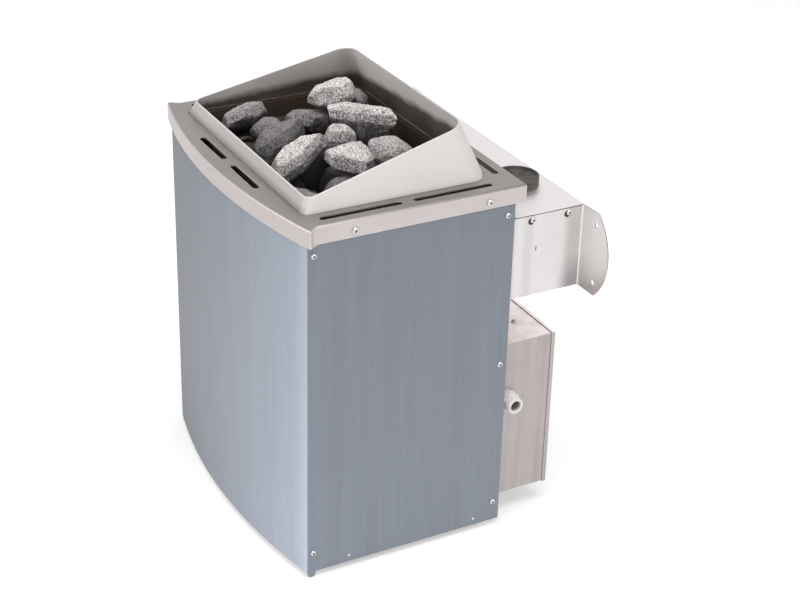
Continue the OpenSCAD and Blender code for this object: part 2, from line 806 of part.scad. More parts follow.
// Stones: filling layers between the elements, then the loose stones on top
module sauna_stones() color("#8f8a87") placed() {
  fill_z = grate_top + seat;
  bed_z = top_h - element_drop + seat;
  layer_h = (bed_z - fill_z) / stone_layers;
  column = (element_pitch - element_d - 3 * seat) / 2;
  outer = (chamber_w - 2 * element_pitch - element_d) / 2 - 2 * seat;
  row_d = (chamber_d - 4 * seat) / 3;
  for (layer = [0 : stone_layers - 1], row = [0 : 2]) {
    y = chamber_y + chamber_d / 2 + (row - 1) * (row_d + seat);
    z = fill_z + layer * layer_h;
    seed = layer * 11 + row * 5;
    both_sides() {
      translate([(chamber_w / 2 + element_pitch + element_d / 2) / 2, y, z])
        stone([outer, row_d, layer_h - seat], seed);
      for (i = [0, 1]) translate([(element_pitch + (2 * i - 1) * (column + seat)) / 2, y, z])
        stone([column, row_d, layer_h - seat], seed + 3 + 2 * i);
    }
  }
  for (i = [0 : len(top_stone_shares) - 1]) {
    s = top_stone_shares[i];
    h = s[5] * layer_h;
    translate([s[0] * chamber_w, chamber_y + s[1] * chamber_d, bed_z + s[2] * layer_h])
      rotate(s[6]) translate([0, 0, -h / 2])
        stone([s[3] * chamber_w, s[4] * chamber_d, h], i * 7);
  }
}

// Wall bracket side: flange on the casing back, side sheet, and ear on the wall
module bracket_side() placed() {
  half = bracket_w / 2;
  difference() {
    union() {
      translate([0, 0, bracket_z]) linear_extrude(bracket_h - sheet) bracket_section();
      translate([half - sheet, wall_y - sheet, bracket_z])
        cube([2 * sheet, sheet, bracket_h - sheet]);
      intersection() {
        translate([half, wall_y - sheet, bracket_z]) cube([ear_w, sheet, bracket_h]);
        rod_y(half + ear_w - ear_curve, wall_y - 2 * sheet, wall_y + over,
              bracket_z + bracket_h / 2, 2 * ear_curve);
      }
    }
    for (z = [-1, 1])
      hole_y(ear_x, wall_y - sheet, bracket_z + (bracket_h + z * ear_pitch) / 2, sheet, ear_hole_d);
    for (y = bracket_screw_ys) hole_x(half - sheet, y, bracket_screw_z, sheet);
    bracket_fixings() hole_y(0, body_d, 0, sheet);
    translate([half - sheet - over, body_d + mark_back, bracket_top - mark_drop])
      rotate([0, 90, 0]) linear_extrude(sheet + 2 * over) slot_2d(mark_l, mark_w);
  }
}

module bracket_left() color("#c9c6c3") mirror([1, 0, 0]) bracket_side();
module bracket_right() color("#c9c6c3") bracket_side();

// Plan of a bracket side: inward flange with a round bend, then the side to the wall
module bracket_section() {
  half = bracket_w / 2;
  difference() {
    translate([half - bracket_flange, body_d]) square([bracket_flange, standoff]);
    corner_cut(half, body_d, bend_r, 1);
    difference() {
      translate([half - bracket_flange - over, body_d + sheet])
        square([bracket_flange + over - sheet, standoff]);
      corner_cut(half - sheet, body_d + sheet, bend_r - sheet, 1);
    }
  }
}

// Cover over the bracket, with side and rear lips and the filler hole
module bracket_cover() color("#e2e1df") placed() {
  lip_w = bracket_w - 2 * sheet - 2 * fit;
  front = body_d + bend_r + sheet;
  difference() {
    union() {
      translate([-bracket_w / 2, front, bracket_top - sheet])
        cube([bracket_w, wall_y - front, sheet]);
      translate([-lip_w / 2, front, bracket_top - sheet - cover_lip])
        cube([lip_w, wall_y - front, cover_lip]);
    }
    translate([sheet - lip_w / 2, front - over, bracket_top - 2 * sheet - cover_lip])
      cube([lip_w - 2 * sheet, wall_y - front + over - sheet, cover_lip + sheet]);
    translate([cap_x, body_d + cap_back, bracket_top - sheet - over])
      cylinder(h = sheet + 2 * over, d = neck_d + 2 * fit);
    both_sides() for (y = bracket_screw_ys) hole_x(lip_w / 2 - sheet, y, bracket_screw_z, sheet);
  }
}

// Floor of the bracket that carries the tank, with upturned sides
module bracket_floor() color("#c4c2bf") placed() {
  w = bracket_w - 2 * sheet - 2 * fit;
  front = body_d + bend_r;
  difference() {
    translate([-w / 2, front, floor_z]) cube([w, wall_y - sheet - fit - front, cover_lip]);
    translate([sheet - w / 2, front - over, floor_z + sheet])
      cube([w - 2 * sheet, standoff + over, cover_lip]);
    translate([conduit_x, conduit_y, floor_z - over])
      cylinder(h = sheet + 2 * over, r = conduit_r - conduit_t);
  }
}

// Box with round upright edges, from its front edge at y = 0
module rounded_box(w, d, h, r) {
  linear_extrude(h) cornered_2d(w, d, r, r);
}

// Water tank: closed stainless vessel with a filler hole and a steam outlet
module water_tank() color("#bdbbb8") placed() {
  difference() {
    translate([0, tank_front, tank_z]) rounded_box(tank_w, tank_depth, tank_h, tank_r);
    translate([0, tank_front + tank_t, tank_z + tank_t])
      rounded_box(tank_w - 2 * tank_t, tank_depth - 2 * tank_t, tank_h - 2 * tank_t, tank_r - tank_t);
    translate([cap_x, body_d + cap_back, tank_top - tank_t - over])
      cylinder(h = tank_t + 2 * over, d = neck_d - 2 * neck_t);
    translate([duct_t - duct_w / 2, tank_front - over, tank_top - duct_drop + duct_t])
      cube([duct_w - 2 * duct_t, tank_t + 2 * over, duct_h - 2 * duct_t]);
    for (y = [-1, 1])
      hole_x(-tank_w / 2, conduit_y + y * hairpin_r, hairpin_z, tank_t, hairpin_d + fit);
  }
}

// Hairpin heater of the tank with its flange plate and pins
module tank_heater() color("#5a5452") placed() {
  translate([-tank_w / 2, conduit_y, hairpin_z]) {
    for (y = [-1, 1]) translate([-plate_lead, y * hairpin_r, 0]) {
      rod_x(hairpin_l + plate_lead, hairpin_d);
      translate([-hairpin_pin_l, 0, 0]) rod_x(hairpin_pin_l, pin_d);
    }
    translate([hairpin_l, 0, 0]) rotate(-90) rotate_extrude(angle = 180)
      translate([hairpin_r, 0]) circle(d = hairpin_d);
    translate([-plate_lead, -plate_w / 2, -plate_h / 2]) cube([plate_lead, plate_w, plate_h]);
  }
}

// Wires from the tank heater down the conduit into the terminal block
module tank_wires() color("#c9c4bb") placed() {
  for (y = [-1, 1]) translate([conduit_x, conduit_y + y * hairpin_r, hairpin_z])
    rotate(90) drop_wire(hairpin_z);
}

// Short tube that guards the tank wires between the bracket and the terminal box
module wire_conduit() color("#b4b7ba") placed() {
  low = box_top - box_t;
  translate([conduit_x, conduit_y, low]) difference() {
    cylinder(h = floor_z - low, r = conduit_r);
    translate([0, 0, -over]) cylinder(h = floor_z - low + 2 * over, r = conduit_r - conduit_t);
  }
}

// Flat duct that leads the steam into the air gap under the rear slots
module steam_duct() color("#bdbbb8") placed() {
  start = body_d - sheet - duct_reach;
  difference() {
    translate([-duct_w / 2, start, tank_top - duct_drop]) cube([duct_w, tank_front - start, duct_h]);
    translate([duct_t - duct_w / 2, start - over, tank_top - duct_drop + duct_t])
      cube([duct_w - 2 * duct_t, tank_front - start + 2 * over, duct_h - 2 * duct_t]);
  }
}

// Upright ring on the filler's axis
module filler_ring(z, h) {
  translate([cap_x, body_d + cap_back, z]) difference() {
    cylinder(h = h, d = neck_d);
    translate([0, 0, -over]) cylinder(h = h + 2 * over, d = neck_d - 2 * neck_t);
  }
}

// Neck that the water is poured into
module filler_neck() color("#3a3836") placed() filler_ring(tank_top, neck_top - tank_top);

// Sealing ring between the neck and the cap
module cap_gasket() color("#262423") placed() filler_ring(neck_top, gasket_t);

// Screw cap with a dished top and grooves round its side
module filler_cap() color("#4b4643") placed() {
  r = cap_d / 2;
  top_z = neck_top + gasket_t + cap_roof;
  bottom = bracket_top + seat;
  pitch = (top_z - bottom) / (cap_grooves + 1);
  translate([cap_x, body_d + cap_back, 0]) rotate_extrude() difference() {
    translate([0, bottom]) square([r, top_z - bottom]);
    translate([0, bottom - over])
      square([neck_d / 2 + fit, neck_top + gasket_t - bottom + over]);
    translate([0, top_z - dish_depth]) square([r - cap_wall, dish_depth + over]);
    for (i = [1 : cap_grooves]) translate([r, bottom + i * pitch]) circle(d = groove_d);
  }
}

// Terminal box: sheet body closed by a rear cover
module terminal_box() color("#a9a39f") placed() {
  w = box_w - 2 * box_t;
  h = box_h - 2 * box_t;
  d = box_d - box_t;
  difference() {
    translate([-w / 2, body_d, box_z + box_t]) cube([w, d, h]);
    translate([box_t - w / 2, body_d + box_t, box_z + 2 * box_t])
      cube([w - 2 * box_t, d - 2 * box_t, h - 2 * box_t]);
    translate([box_flange - w / 2, body_d + d - box_t - over, box_z + box_t + box_flange])
      cube([w - 2 * box_flange, box_t + 2 * over, h - 2 * box_flange]);
    element_holes(body_d, box_t);
    hole_y(top_screw_x, body_d, sensor_z, box_t, capillary_d + fit);
    box_fixings() hole_y(0, body_d, 0, box_t);
    hole_y(earth_x, body_d, earth_z, box_t, earth_d + fit);
    translate([top_screw_x, top_screw_y, cutout_top - over])
      cylinder(h = box_t + 2 * over, d = shank_d + fit);
    translate([conduit_x, conduit_y, cutout_top - over])
      cylinder(h = box_t + 2 * over, r = conduit_r - conduit_t);
    hole_x(gland_x - box_t, gland_y, gland_z, box_t, gland_thread_d + fit);
    cover_fixings() hole_y(0, body_d + d - box_t, 0, box_t);
  }
}

// Places of the four rear cover screws
module cover_fixings() {
  for (x = [-1, 1], z = box_screw_zs) translate([x * box_screw_x, 0, z]) children();
}

// Shallow rear cover whose lips lap over the box
module terminal_cover() color("#b0aaa6") placed() {
  difference() {
    translate([-box_w / 2, body_d + box_d - cover_side, box_z]) cube([box_w, cover_side, box_h]);
    translate([box_t - box_w / 2, body_d + box_d - cover_side - over, box_z + box_t])
      cube([box_w - 2 * box_t, cover_side + over - box_t, box_h - 2 * box_t]);
    cover_fixings() hole_y(0, body_d + box_d - box_t, 0, box_t);
  }
}

// Ceramic block with a pole for each wire pair, ports on top and screw wells behind
module terminal_block() color("#ece8dd") placed() {
  left = pole_xs[0] - pole_w / 2;
  right = pole_xs[3] + pole_w / 2;
  difference() {
    translate([left, body_d + box_t, block_z]) cube([right - left, block_d, block_h]);
    for (i = [0 : 2])
      translate([(pole_xs[i] + pole_xs[i + 1] - pole_gap) / 2, block_back - block_d / 2,
                 block_z + block_h / 2])
        cube([pole_gap, block_d, block_h]);
    for (x = [-1 : 1], y = wire_ys) block_port(x * element_pitch, y);
    for (y = [-1, 1]) block_port(conduit_x, conduit_y + y * hairpin_r);
    block_poles() rod_y(0, block_back - clamp_depth, block_back + over, 0, clamp_d);
  }
}

// Blind hole for a wire in the top of the block
module block_port(x, y) {
  translate([x, y, block_z + block_h - port_depth]) cylinder(h = port_depth + over, d = wire_d + fit);
}

// Places of the clamp screws on the block
module block_poles() {
  for (x = pole_xs) translate([x, 0, block_z + clamp_up]) children();
}

// Brass clamp screws of the terminal block
module terminal_screws() color("#b8964e") placed() {
  block_poles() rod_y(0, block_back - clamp_depth, block_back - clamp_in, 0, clamp_d - fit);
}

// Earth stud with its two nuts, through the box wall
module earth_stud() color("#b8964e") placed() {
  rod_y(earth_x, body_d, body_d + earth_l, earth_z, earth_d);
  for (y = [box_t, earth_gap])
    translate([earth_x, body_d + y, earth_z]) rotate(90) hex_x(earth_nut_af, earth_nut_l);
}

// Overheat cutout hung under the top of the terminal box
module thermal_cutout() color("#d9d5cc") placed() {
  translate([top_screw_x, top_screw_y, cutout_top - cutout_h]) difference() {
    translate([-cutout_w / 2, -cutout_d / 2, 0]) cube([cutout_w, cutout_d, cutout_h]);
    translate([0, 0, cutout_h - shank_l]) cylinder(h = shank_l + over, d = shank_d + fit);
    rod_y(0, cutout_d / 2 - button_in - button_stroke, cutout_d / 2 + over,
          cutout_h / 2, button_d + 2 * running);
  }
}

// Reset button of the cutout
module reset_button() color("#9c2f26") placed() {
  rod_y(top_screw_x, button_y - button_in, button_y + button_out, sensor_z, button_d);
}

// Capillary and bulb that feel the heat behind the stone chamber
module cutout_sensor() color("#b87b52") placed() {
  bulb_y = chamber_back + seat + bulb_d / 2;
  rod_y(top_screw_x, bulb_y, top_screw_y - cutout_d / 2, sensor_z, capillary_d);
  translate([top_screw_x - bulb_l, bulb_y, sensor_z]) rod_x(bulb_l + bulb_d / 2, bulb_d);
}

// Places the drawing on the gland's axis, a given distance out from the box wall
module on_gland(out) { placed() translate([gland_x + out, gland_y, gland_z]) children(); }

// Gland body: hexagon on the wall, threaded tail inside and collar outside
module gland_body() color("#f1efec") on_gland(0) {
  difference() {
    union() {
      hex_x(gland_af, gland_hex_l);
      translate([-gland_tail_l, 0, 0]) rod_x(gland_tail_l, gland_thread_d);
      rod_x(gland_hex_l + gland_collar_l, gland_collar_d);
    }
    hole_x(-gland_tail_l, 0, 0, gland_tail_l + gland_hex_l + gland_collar_l, gland_mouth_d);
  }
}

// Domed gland nut that presses the seal on the cable
module gland_nut() color("#f4f2ef") on_gland(gland_hex_l + seat) {
  difference() {
    union() {
      hex_x(gland_af, gland_nut_hex_l);
      translate([gland_nut_hex_l, 0, 0]) rotate([0, 90, 0])
        cylinder(h = gland_nut_l - gland_nut_hex_l, d1 = gland_af, d2 = gland_ring_d);
    }
    hole_x(0, 0, 0, gland_nut_l, gland_mouth_d);
    translate([-over, 0, 0]) rod_x(gland_nut_l - gland_lip_l + over, gland_collar_d + fit);
  }
}

// Rubber seal round the cable
module gland_seal() color("#3b3a39") on_gland(gland_hex_l + gland_collar_l) difference() {
  rod_x(gland_seal_l, gland_seal_d);
  hole_x(0, 0, 0, gland_seal_l, cable_d);
}

// Locknut inside the box wall
module gland_locknut() color("#f1efec") on_gland(-box_t - gland_lock_l) difference() {
  hex_x(gland_lock_af, gland_lock_l);
  hole_x(0, 0, 0, gland_lock_l, gland_thread_d + fit);
}

// Fasteners, each group one node
module skirt_screws() color("#d0cecb") placed() both_sides() for (y = skirt_screw_ys)
  translate([body_w / 2 + sheet, y, skirt_screw_z]) pan_screw(skirt_head_d);

module casing_screws() color("#d0cecb") placed() both_sides() for (p = side_spots)
  translate([body_w / 2, p[0], p[1]]) pan_screw(head_d);

module casing_rivets() color("#c8c6c3") placed() both_sides() for (y = rivet_ys)
  translate([body_w / 2, y, rivet_z]) {
    rod_x(rivet_h, rivet_d);
    translate([-3 * sheet, 0, 0]) rod_x(3 * sheet, rivet_shank_d);
  }

module bracket_screws() color("#d0cecb") placed() {
  both_sides() for (y = bracket_screw_ys)
    translate([bracket_w / 2, y, bracket_screw_z]) pan_screw(head_d);
  bracket_fixings() translate([0, body_d + sheet, 0]) rotate(90)
    pan_screw(head_d, 2 * sheet + shank_end);
}

module box_screws() color("#8d8a87") placed() {
  cover_fixings() translate([0, body_d + box_d, 0]) rotate(90) pan_screw(head_d);
  box_fixings() translate([0, body_d + box_t, 0]) rotate(90)
    pan_screw(head_d, box_t + sheet + shank_end);
  translate([top_screw_x, top_screw_y, box_top - box_t]) rotate([0, -90, 0]) pan_screw(head_d);
}

outer_casing();
base_plate();
rear_panel();
front_posts();
heat_shield();
stone_chamber();
stone_grate();
heating_element_left();
heating_element_middle();
heating_element_right();
element_nuts();
element_insulators();
element_wires();
top_frame();
stone_collar();
sauna_stones();
bracket_left();
bracket_right();
bracket_cover();
bracket_floor();
water_tank();
tank_heater();
tank_wires();
wire_conduit();
steam_duct();
filler_neck();
cap_gasket();
filler_cap();
terminal_box();
terminal_cover();
terminal_block();
terminal_screws();
earth_stud();
thermal_cutout();
reset_button();
cutout_sensor();
gland_body();
gland_nut();
gland_seal();
gland_locknut();
skirt_screws();
casing_screws();
casing_rivets();
bracket_screws();
box_screws();
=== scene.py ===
"""Dresses a wall-hung sauna heater: camera, studio, finishes, and pieces with folded edges and detail.

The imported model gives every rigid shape. The sheet pieces that show are replaced by copies with
rounded folds, the stones get broken faces, the screws get cross recesses, and every node gets a
procedural finish.
"""

from __future__ import annotations

import json
import logging
import math
import random
from dataclasses import dataclass
from enum import Enum
from typing import ClassVar

import bmesh
import bpy
from mathutils import Matrix, Vector

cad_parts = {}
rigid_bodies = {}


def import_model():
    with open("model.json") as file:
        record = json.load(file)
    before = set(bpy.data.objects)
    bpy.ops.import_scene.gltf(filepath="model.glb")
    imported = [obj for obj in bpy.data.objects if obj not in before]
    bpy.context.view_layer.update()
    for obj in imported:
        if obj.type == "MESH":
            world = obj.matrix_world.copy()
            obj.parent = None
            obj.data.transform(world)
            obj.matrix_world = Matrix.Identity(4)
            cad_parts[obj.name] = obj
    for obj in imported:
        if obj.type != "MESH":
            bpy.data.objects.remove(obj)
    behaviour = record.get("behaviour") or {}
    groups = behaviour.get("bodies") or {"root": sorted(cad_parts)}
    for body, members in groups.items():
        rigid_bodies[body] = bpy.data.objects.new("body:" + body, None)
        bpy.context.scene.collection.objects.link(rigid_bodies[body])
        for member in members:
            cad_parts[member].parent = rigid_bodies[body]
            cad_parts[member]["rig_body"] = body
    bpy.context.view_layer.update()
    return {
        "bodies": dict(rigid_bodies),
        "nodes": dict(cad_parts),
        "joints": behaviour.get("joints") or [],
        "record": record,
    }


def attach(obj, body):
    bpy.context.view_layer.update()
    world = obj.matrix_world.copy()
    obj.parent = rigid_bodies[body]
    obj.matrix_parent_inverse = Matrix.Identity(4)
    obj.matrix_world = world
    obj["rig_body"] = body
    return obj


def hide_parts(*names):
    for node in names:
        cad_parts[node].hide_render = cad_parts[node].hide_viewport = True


LOG = logging.getLogger("sauna_heater")
MM = 0.001
JOIN = 2e-6
Colour = tuple[float, float, float]
Socket = bpy.types.NodeSocket


def shade(colour: Colour, factor: float, lift: float = 0.0) -> Colour:
    """A colour made darker or paler, kept within one."""
    return tuple(min(1.0, c * factor + lift) for c in colour)


def stand(name: str, data: bpy.types.ID) -> bpy.types.Object:
    """A new object in the scene that shows the data."""
    obj = bpy.data.objects.new(name, data)
    bpy.context.scene.collection.objects.link(obj)
    return obj


# ---------------------------------------------------------------- node trees


class Bench:
    """A node tree with short calls to place and join its nodes."""

    def __init__(self, tree: bpy.types.NodeTree) -> None:
        """Works on a tree, from an empty sheet.

        Args:
            tree: the shader or geometry tree to fill.
        """
        self.tree = tree
        tree.nodes.clear()

    def feed(self, socket: Socket, value: object) -> None:
        """Links a socket to another, or sets its value."""
        if isinstance(value, bpy.types.NodeSocket):
            self.tree.links.new(value, socket)
        elif isinstance(value, tuple) and len(value) == 3 and socket.type == "RGBA":
            socket.default_value = (*value, 1.0)
        else:
            socket.default_value = value

    def fill(self, node: bpy.types.Node, **inputs: object) -> bpy.types.Node:
        """Feeds a node's inputs by name, an underscore standing for a space."""
        for key, value in inputs.items():
            self.feed(node.inputs[key.replace("_", " ")], value)
        return node

    def add(self, kind: str, settings: dict[str, object] | None = None, **inputs: object) -> bpy.types.Node:
        """Places a node.

        Args:
            kind: the node's type name.
            settings: properties of the node.
            inputs: values or sockets by input name, as in fill.

        Returns:
            The new node.
        """
        node = self.tree.nodes.new(kind)
        for key, value in (settings or {}).items():
            setattr(node, key, value)
        return self.fill(node, **inputs)

    def math(self, operation: str, a: object, b: object = 0.0, clamp: bool = False) -> Socket:
        """A Math node's result."""
        node = self.add("ShaderNodeMath", {"operation": operation, "use_clamp": clamp})
        self.feed(node.inputs[0], a)
        self.feed(node.inputs[1], b)
        return node.outputs[0]

    def times(self, a: object, b: object, clamp: bool = False) -> Socket:
        """The product of two values."""
        return self.math("MULTIPLY", a, b, clamp)

    def plus(self, a: object, b: object, clamp: bool = False) -> Socket:
        """The sum of two values."""
        return self.math("ADD", a, b, clamp)

    def minus(self, a: object, b: object) -> Socket:
        """The first value less the second."""
        return self.math("SUBTRACT", a, b)

    def most(self, a: object, b: object) -> Socket:
        """The larger of two values."""
        return self.math("MAXIMUM", a, b)

    def far(self, a: object, b: object) -> Socket:
        """How far two values are apart."""
        return self.math("ABSOLUTE", self.minus(a, b))

    def mix(self, share: object, a: object, b: object) -> Socket:
        """The colour between a and b at a share."""
        node = self.add("ShaderNodeMix", {"data_type": "RGBA"})
        self.feed(node.inputs[0], share)
        self.feed(node.inputs[6], a)
        self.feed(node.inputs[7], b)
        return node.outputs[2]

    def span(
        self, value: object, low: float, high: float, to_low: float = 0.0, to_high: float = 1.0
    ) -> Socket:
        """A value mapped from one range to another, clamped."""
        node = self.add("ShaderNodeMapRange", {"clamp": True})
        for i, v in enumerate((value, low, high, to_low, to_high)):
            self.feed(node.inputs[i], v)
        return node.outputs[0]

    def noise(
        self, vector: object, scale: object, detail: float = 2.0, roughness: float = 0.5, **more: object
    ) -> Socket:
        """A noise texture's value."""
        inputs = {"Vector": vector, "Scale": scale, "Detail": detail, "Roughness": roughness, **more}
        return self.add("ShaderNodeTexNoise", **inputs).outputs[0]

    def stretched(self, vector: Socket, scale: Colour) -> Socket:
        """A vector scaled by axis."""
        return self.add("ShaderNodeMapping", Vector=vector, Scale=scale).outputs[0]

    def grown(self, vector: Socket, factor: object) -> Socket:
        """A vector or colour times a number."""
        node = self.add("ShaderNodeVectorMath", {"operation": "SCALE"}, Scale=factor)
        self.feed(node.inputs[0], vector)
        return node.outputs[0]

    def place(self) -> Socket:
        """Object coordinates."""
        return self.add("ShaderNodeTexCoord").outputs["Object"]

    def normal(self) -> Socket:
        """The surface's own normal."""
        return self.add("ShaderNodeNewGeometry").outputs["Normal"]

    def xyz(self, vector: Socket) -> bpy.types.bpy_prop_collection:
        """The three parts of a vector."""
        return self.add("ShaderNodeSeparateXYZ", Vector=vector).outputs


def shader_group(
    name: str, inputs: dict[str, float | None], outputs: tuple[str, ...]
) -> tuple[Bench, dict[str, Socket], bpy.types.Node]:
    """A shader node group with named sockets.

    Args:
        name: the group's name.
        inputs: input name to start value, None for a vector.
        outputs: the names of its values.

    Returns:
        The bench, the group's inputs by name, and its output node.
    """
    tree = bpy.data.node_groups.new(name, "ShaderNodeTree")
    for key, value in inputs.items():
        kind = "NodeSocketVector" if value is None else "NodeSocketFloat"
        socket = tree.interface.new_socket(key, in_out="INPUT", socket_type=kind)
        if value is not None:
            socket.default_value = value
    for key in outputs:
        tree.interface.new_socket(key, in_out="OUTPUT", socket_type="NodeSocketFloat")
    bench = Bench(tree)
    source = bench.add("NodeGroupInput")
    sink = bench.add("NodeGroupOutput")
    return bench, {key: source.outputs[key] for key in inputs}, sink


def geometry_group(name: str, inputs: dict[str, object]) -> tuple[Bench, dict[str, Socket]]:
    """A geometry node tree that takes and gives geometry.

    Args:
        name: the tree's name.
        inputs: further input name to start value, or to a socket type's suffix.

    Returns:
        The bench and the tree's inputs by name.
    """
    tree = bpy.data.node_groups.new(name, "GeometryNodeTree")
    face = tree.interface
    face.new_socket("Geometry", in_out="INPUT", socket_type="NodeSocketGeometry")
    for key, value in inputs.items():
        kind = value if isinstance(value, str) else "Float"
        socket = face.new_socket(key, in_out="INPUT", socket_type=f"NodeSocket{kind}")
        if kind == "Float":
            socket.default_value = value
    face.new_socket("Geometry", in_out="OUTPUT", socket_type="NodeSocketGeometry")
    bench = Bench(tree)
    source = bench.add("NodeGroupInput")
    return bench, {key: source.outputs[key] for key in ("Geometry", *inputs)}


def close_group(bench: Bench, geometry: Socket, material: Socket) -> bpy.types.NodeTree:
    """Ends a geometry tree: realize the instances, set the material, hand it out."""
    real = bench.add("GeometryNodeRealizeInstances", Geometry=geometry)
    dressed = bench.add("GeometryNodeSetMaterial", Geometry=real.outputs[0], Material=material)
    bench.add("NodeGroupOutput", Geometry=dressed.outputs[0])
    return bench.tree


class Effects:
    """The shared shader effects, each built once."""

    CRYSTAL_SCALE = 950.0

    def __init__(self) -> None:
        """Builds every group."""
        self.grain = self._grain()
        self.wear_and_highlight = self._wear_and_highlight()
        self.cloud = self._cloud()
        self.crystal = self._crystal()

    @staticmethod
    def _grain() -> bpy.types.NodeTree:
        """Brush marks: fine streaks along the axis in which the vector is squeezed."""
        bench, source, sink = shader_group("brush_grain", {"Vector": None}, ("Mask", "Height"))
        fine = bench.noise(source["Vector"], 1.0, 3.0, 0.7)
        broad = bench.noise(bench.stretched(source["Vector"], (0.22, 0.22, 0.22)), 1.0, 2.0, 0.6)
        both = bench.plus(bench.times(fine, 0.65), bench.times(broad, 0.35))
        bench.fill(sink, Mask=both, Height=both)
        return bench.tree

    @staticmethod
    def _wear_and_highlight() -> bpy.types.NodeTree:
        """Bright edges, rubbed and painted as highlights along folds and rims, broken up by noise."""
        bench, source, sink = shader_group("edge_wear", {"Vector": None, "Radius": 0.002}, ("Mask",))
        bent = bench.add("ShaderNodeBevel", {"samples": 4}, Radius=source["Radius"])
        flat = bench.normal()
        dot = bench.add("ShaderNodeVectorMath", {"operation": "DOT_PRODUCT"})
        bench.feed(dot.inputs[0], bent.outputs[0])
        bench.feed(dot.inputs[1], flat)
        edge = bench.span(dot.outputs["Value"], 0.999, 0.93)
        patchy = bench.span(bench.noise(source["Vector"], 90.0, 3.0, 0.6), 0.35, 0.62)
        bench.fill(sink, Mask=bench.times(edge, patchy, clamp=True))
        return bench.tree

    @staticmethod
    def _cloud() -> bpy.types.NodeTree:
        """Broad soft patches with finer smears inside them."""
        bench, source, sink = shader_group("cloud", {"Vector": None, "Scale": 8.0}, ("Mask", "Smear"))
        broad = bench.noise(source["Vector"], source["Scale"], 4.0, 0.55)
        smear = bench.noise(source["Vector"], bench.times(source["Scale"], 6.0), 5.0, 0.65, Distortion=1.2)
        bench.fill(sink, Mask=bench.span(broad, 0.3, 0.7), Smear=bench.span(smear, 0.35, 0.7))
        return bench.tree

    @classmethod
    def _crystal(cls) -> bpy.types.NodeTree:
        """Grains of broken rock: pale crystals, dark crystals and a rough height."""
        bench, source, sink = shader_group("crystal", {"Vector": None}, ("Pale", "Dark", "Height"))
        place, scale = source["Vector"], cls.CRYSTAL_SCALE
        warp = bench.add("ShaderNodeTexNoise", Vector=place, Scale=0.5 * scale, Detail=2.0)
        moved = bench.add("ShaderNodeVectorMath", {"operation": "ADD"})
        bench.feed(moved.inputs[0], place)
        bench.feed(moved.inputs[1], bench.grown(warp.outputs["Color"], 0.003))
        cells = bench.add("ShaderNodeTexVoronoi", Vector=moved.outputs[0], Scale=scale)
        tone = bench.add("ShaderNodeSeparateColor", Color=cells.outputs["Color"])
        rough = bench.noise(place, 0.35 * scale, 6.0, 0.75)
        bench.fill(
            sink,
            Pale=bench.span(tone.outputs[0], 0.46, 0.6),
            Dark=bench.span(tone.outputs[1], 0.66, 0.74),
            Height=bench.plus(rough, bench.times(cells.outputs["Distance"], 0.25)),
        )
        return bench.tree


class Grain(Enum):
    """The direction in which a sheet is brushed, as a squeeze of the object's coordinates."""

    ALONG_X = (14.0, 1500.0, 1500.0)
    ALONG_Z = (1500.0, 1500.0, 14.0)
    NONE = (420.0, 420.0, 420.0)


class Facing(Enum):
    """A way that faces look, for painted light and shade: its axis, and the parts of the normal where a tone
    starts and is full.
    """

    UP = (2, 0.6, 0.95)
    FRONT = (1, -0.5, -0.85)
    BOWED_FRONT = (1, -0.3, -0.6)
    SIDE = (0, 0.5, 0.85)


# ---------------------------------------------------------------- finishes


@dataclass(frozen=True)
class Finish:
    """What every finish has: a name and its own material."""

    name: str

    def build(self, effects: Effects) -> bpy.types.Material:
        """Makes the material.

        Args:
            effects: the shared groups.

        Returns:
            The finished material.
        """
        material = bpy.data.materials.new(self.name)
        material.use_nodes = True
        bench = Bench(material.node_tree)
        shader = bench.add("ShaderNodeBsdfPrincipled")
        bench.add("ShaderNodeOutputMaterial", Surface=shader.outputs[0])
        self.paint(bench, shader, effects)
        return material

    def paint(self, bench: Bench, shader: bpy.types.Node, effects: Effects) -> None:
        """Fills in the shader; each finish has its own."""
        raise NotImplementedError

    @staticmethod
    def effect(bench: Bench, tree: bpy.types.NodeTree, **inputs: object) -> bpy.types.bpy_prop_collection:
        """Places a shared group and gives its outputs."""
        return bench.add("ShaderNodeGroup", {"node_tree": tree}, **inputs).outputs

    @staticmethod
    def bump(bench: Bench, height: Socket, distance: float, strength: float) -> Socket:
        """A bumped normal."""
        return bench.add("ShaderNodeBump", Height=height, Distance=distance, Strength=strength).outputs[0]

    @staticmethod
    def painted_light_by_facing(bench: Bench, way: Facing, tone: object) -> Socket:
        """Painted light and shade: a tone on the faces that look one way, one elsewhere.

        Args:
            bench: the material's bench.
            way: which faces.
            tone: the full tone.

        Returns:
            The factor.
        """
        axis, start, full = way.value
        return bench.span(bench.xyz(bench.normal())[axis], start, full, 1.0, tone)

    @staticmethod
    def banded(bench: Bench, place: Socket, across: float, along: float) -> Socket:
        """Soft upright bands: a noise that is finer across the sheet than along Z."""
        return bench.noise(bench.stretched(place, (across, across, along)), 1.0, 3.0, 0.6)

    @staticmethod
    def scaled(bench: Bench, colour: Socket, *factors: Socket) -> Socket:
        """A colour multiplied by every factor."""
        for factor in factors:
            colour = bench.grown(colour, factor)
        return colour

    @staticmethod
    def so_far(shader: bpy.types.Node) -> Socket:
        """What feeds the base colour up to now."""
        return shader.inputs["Base Color"].links[0].from_socket


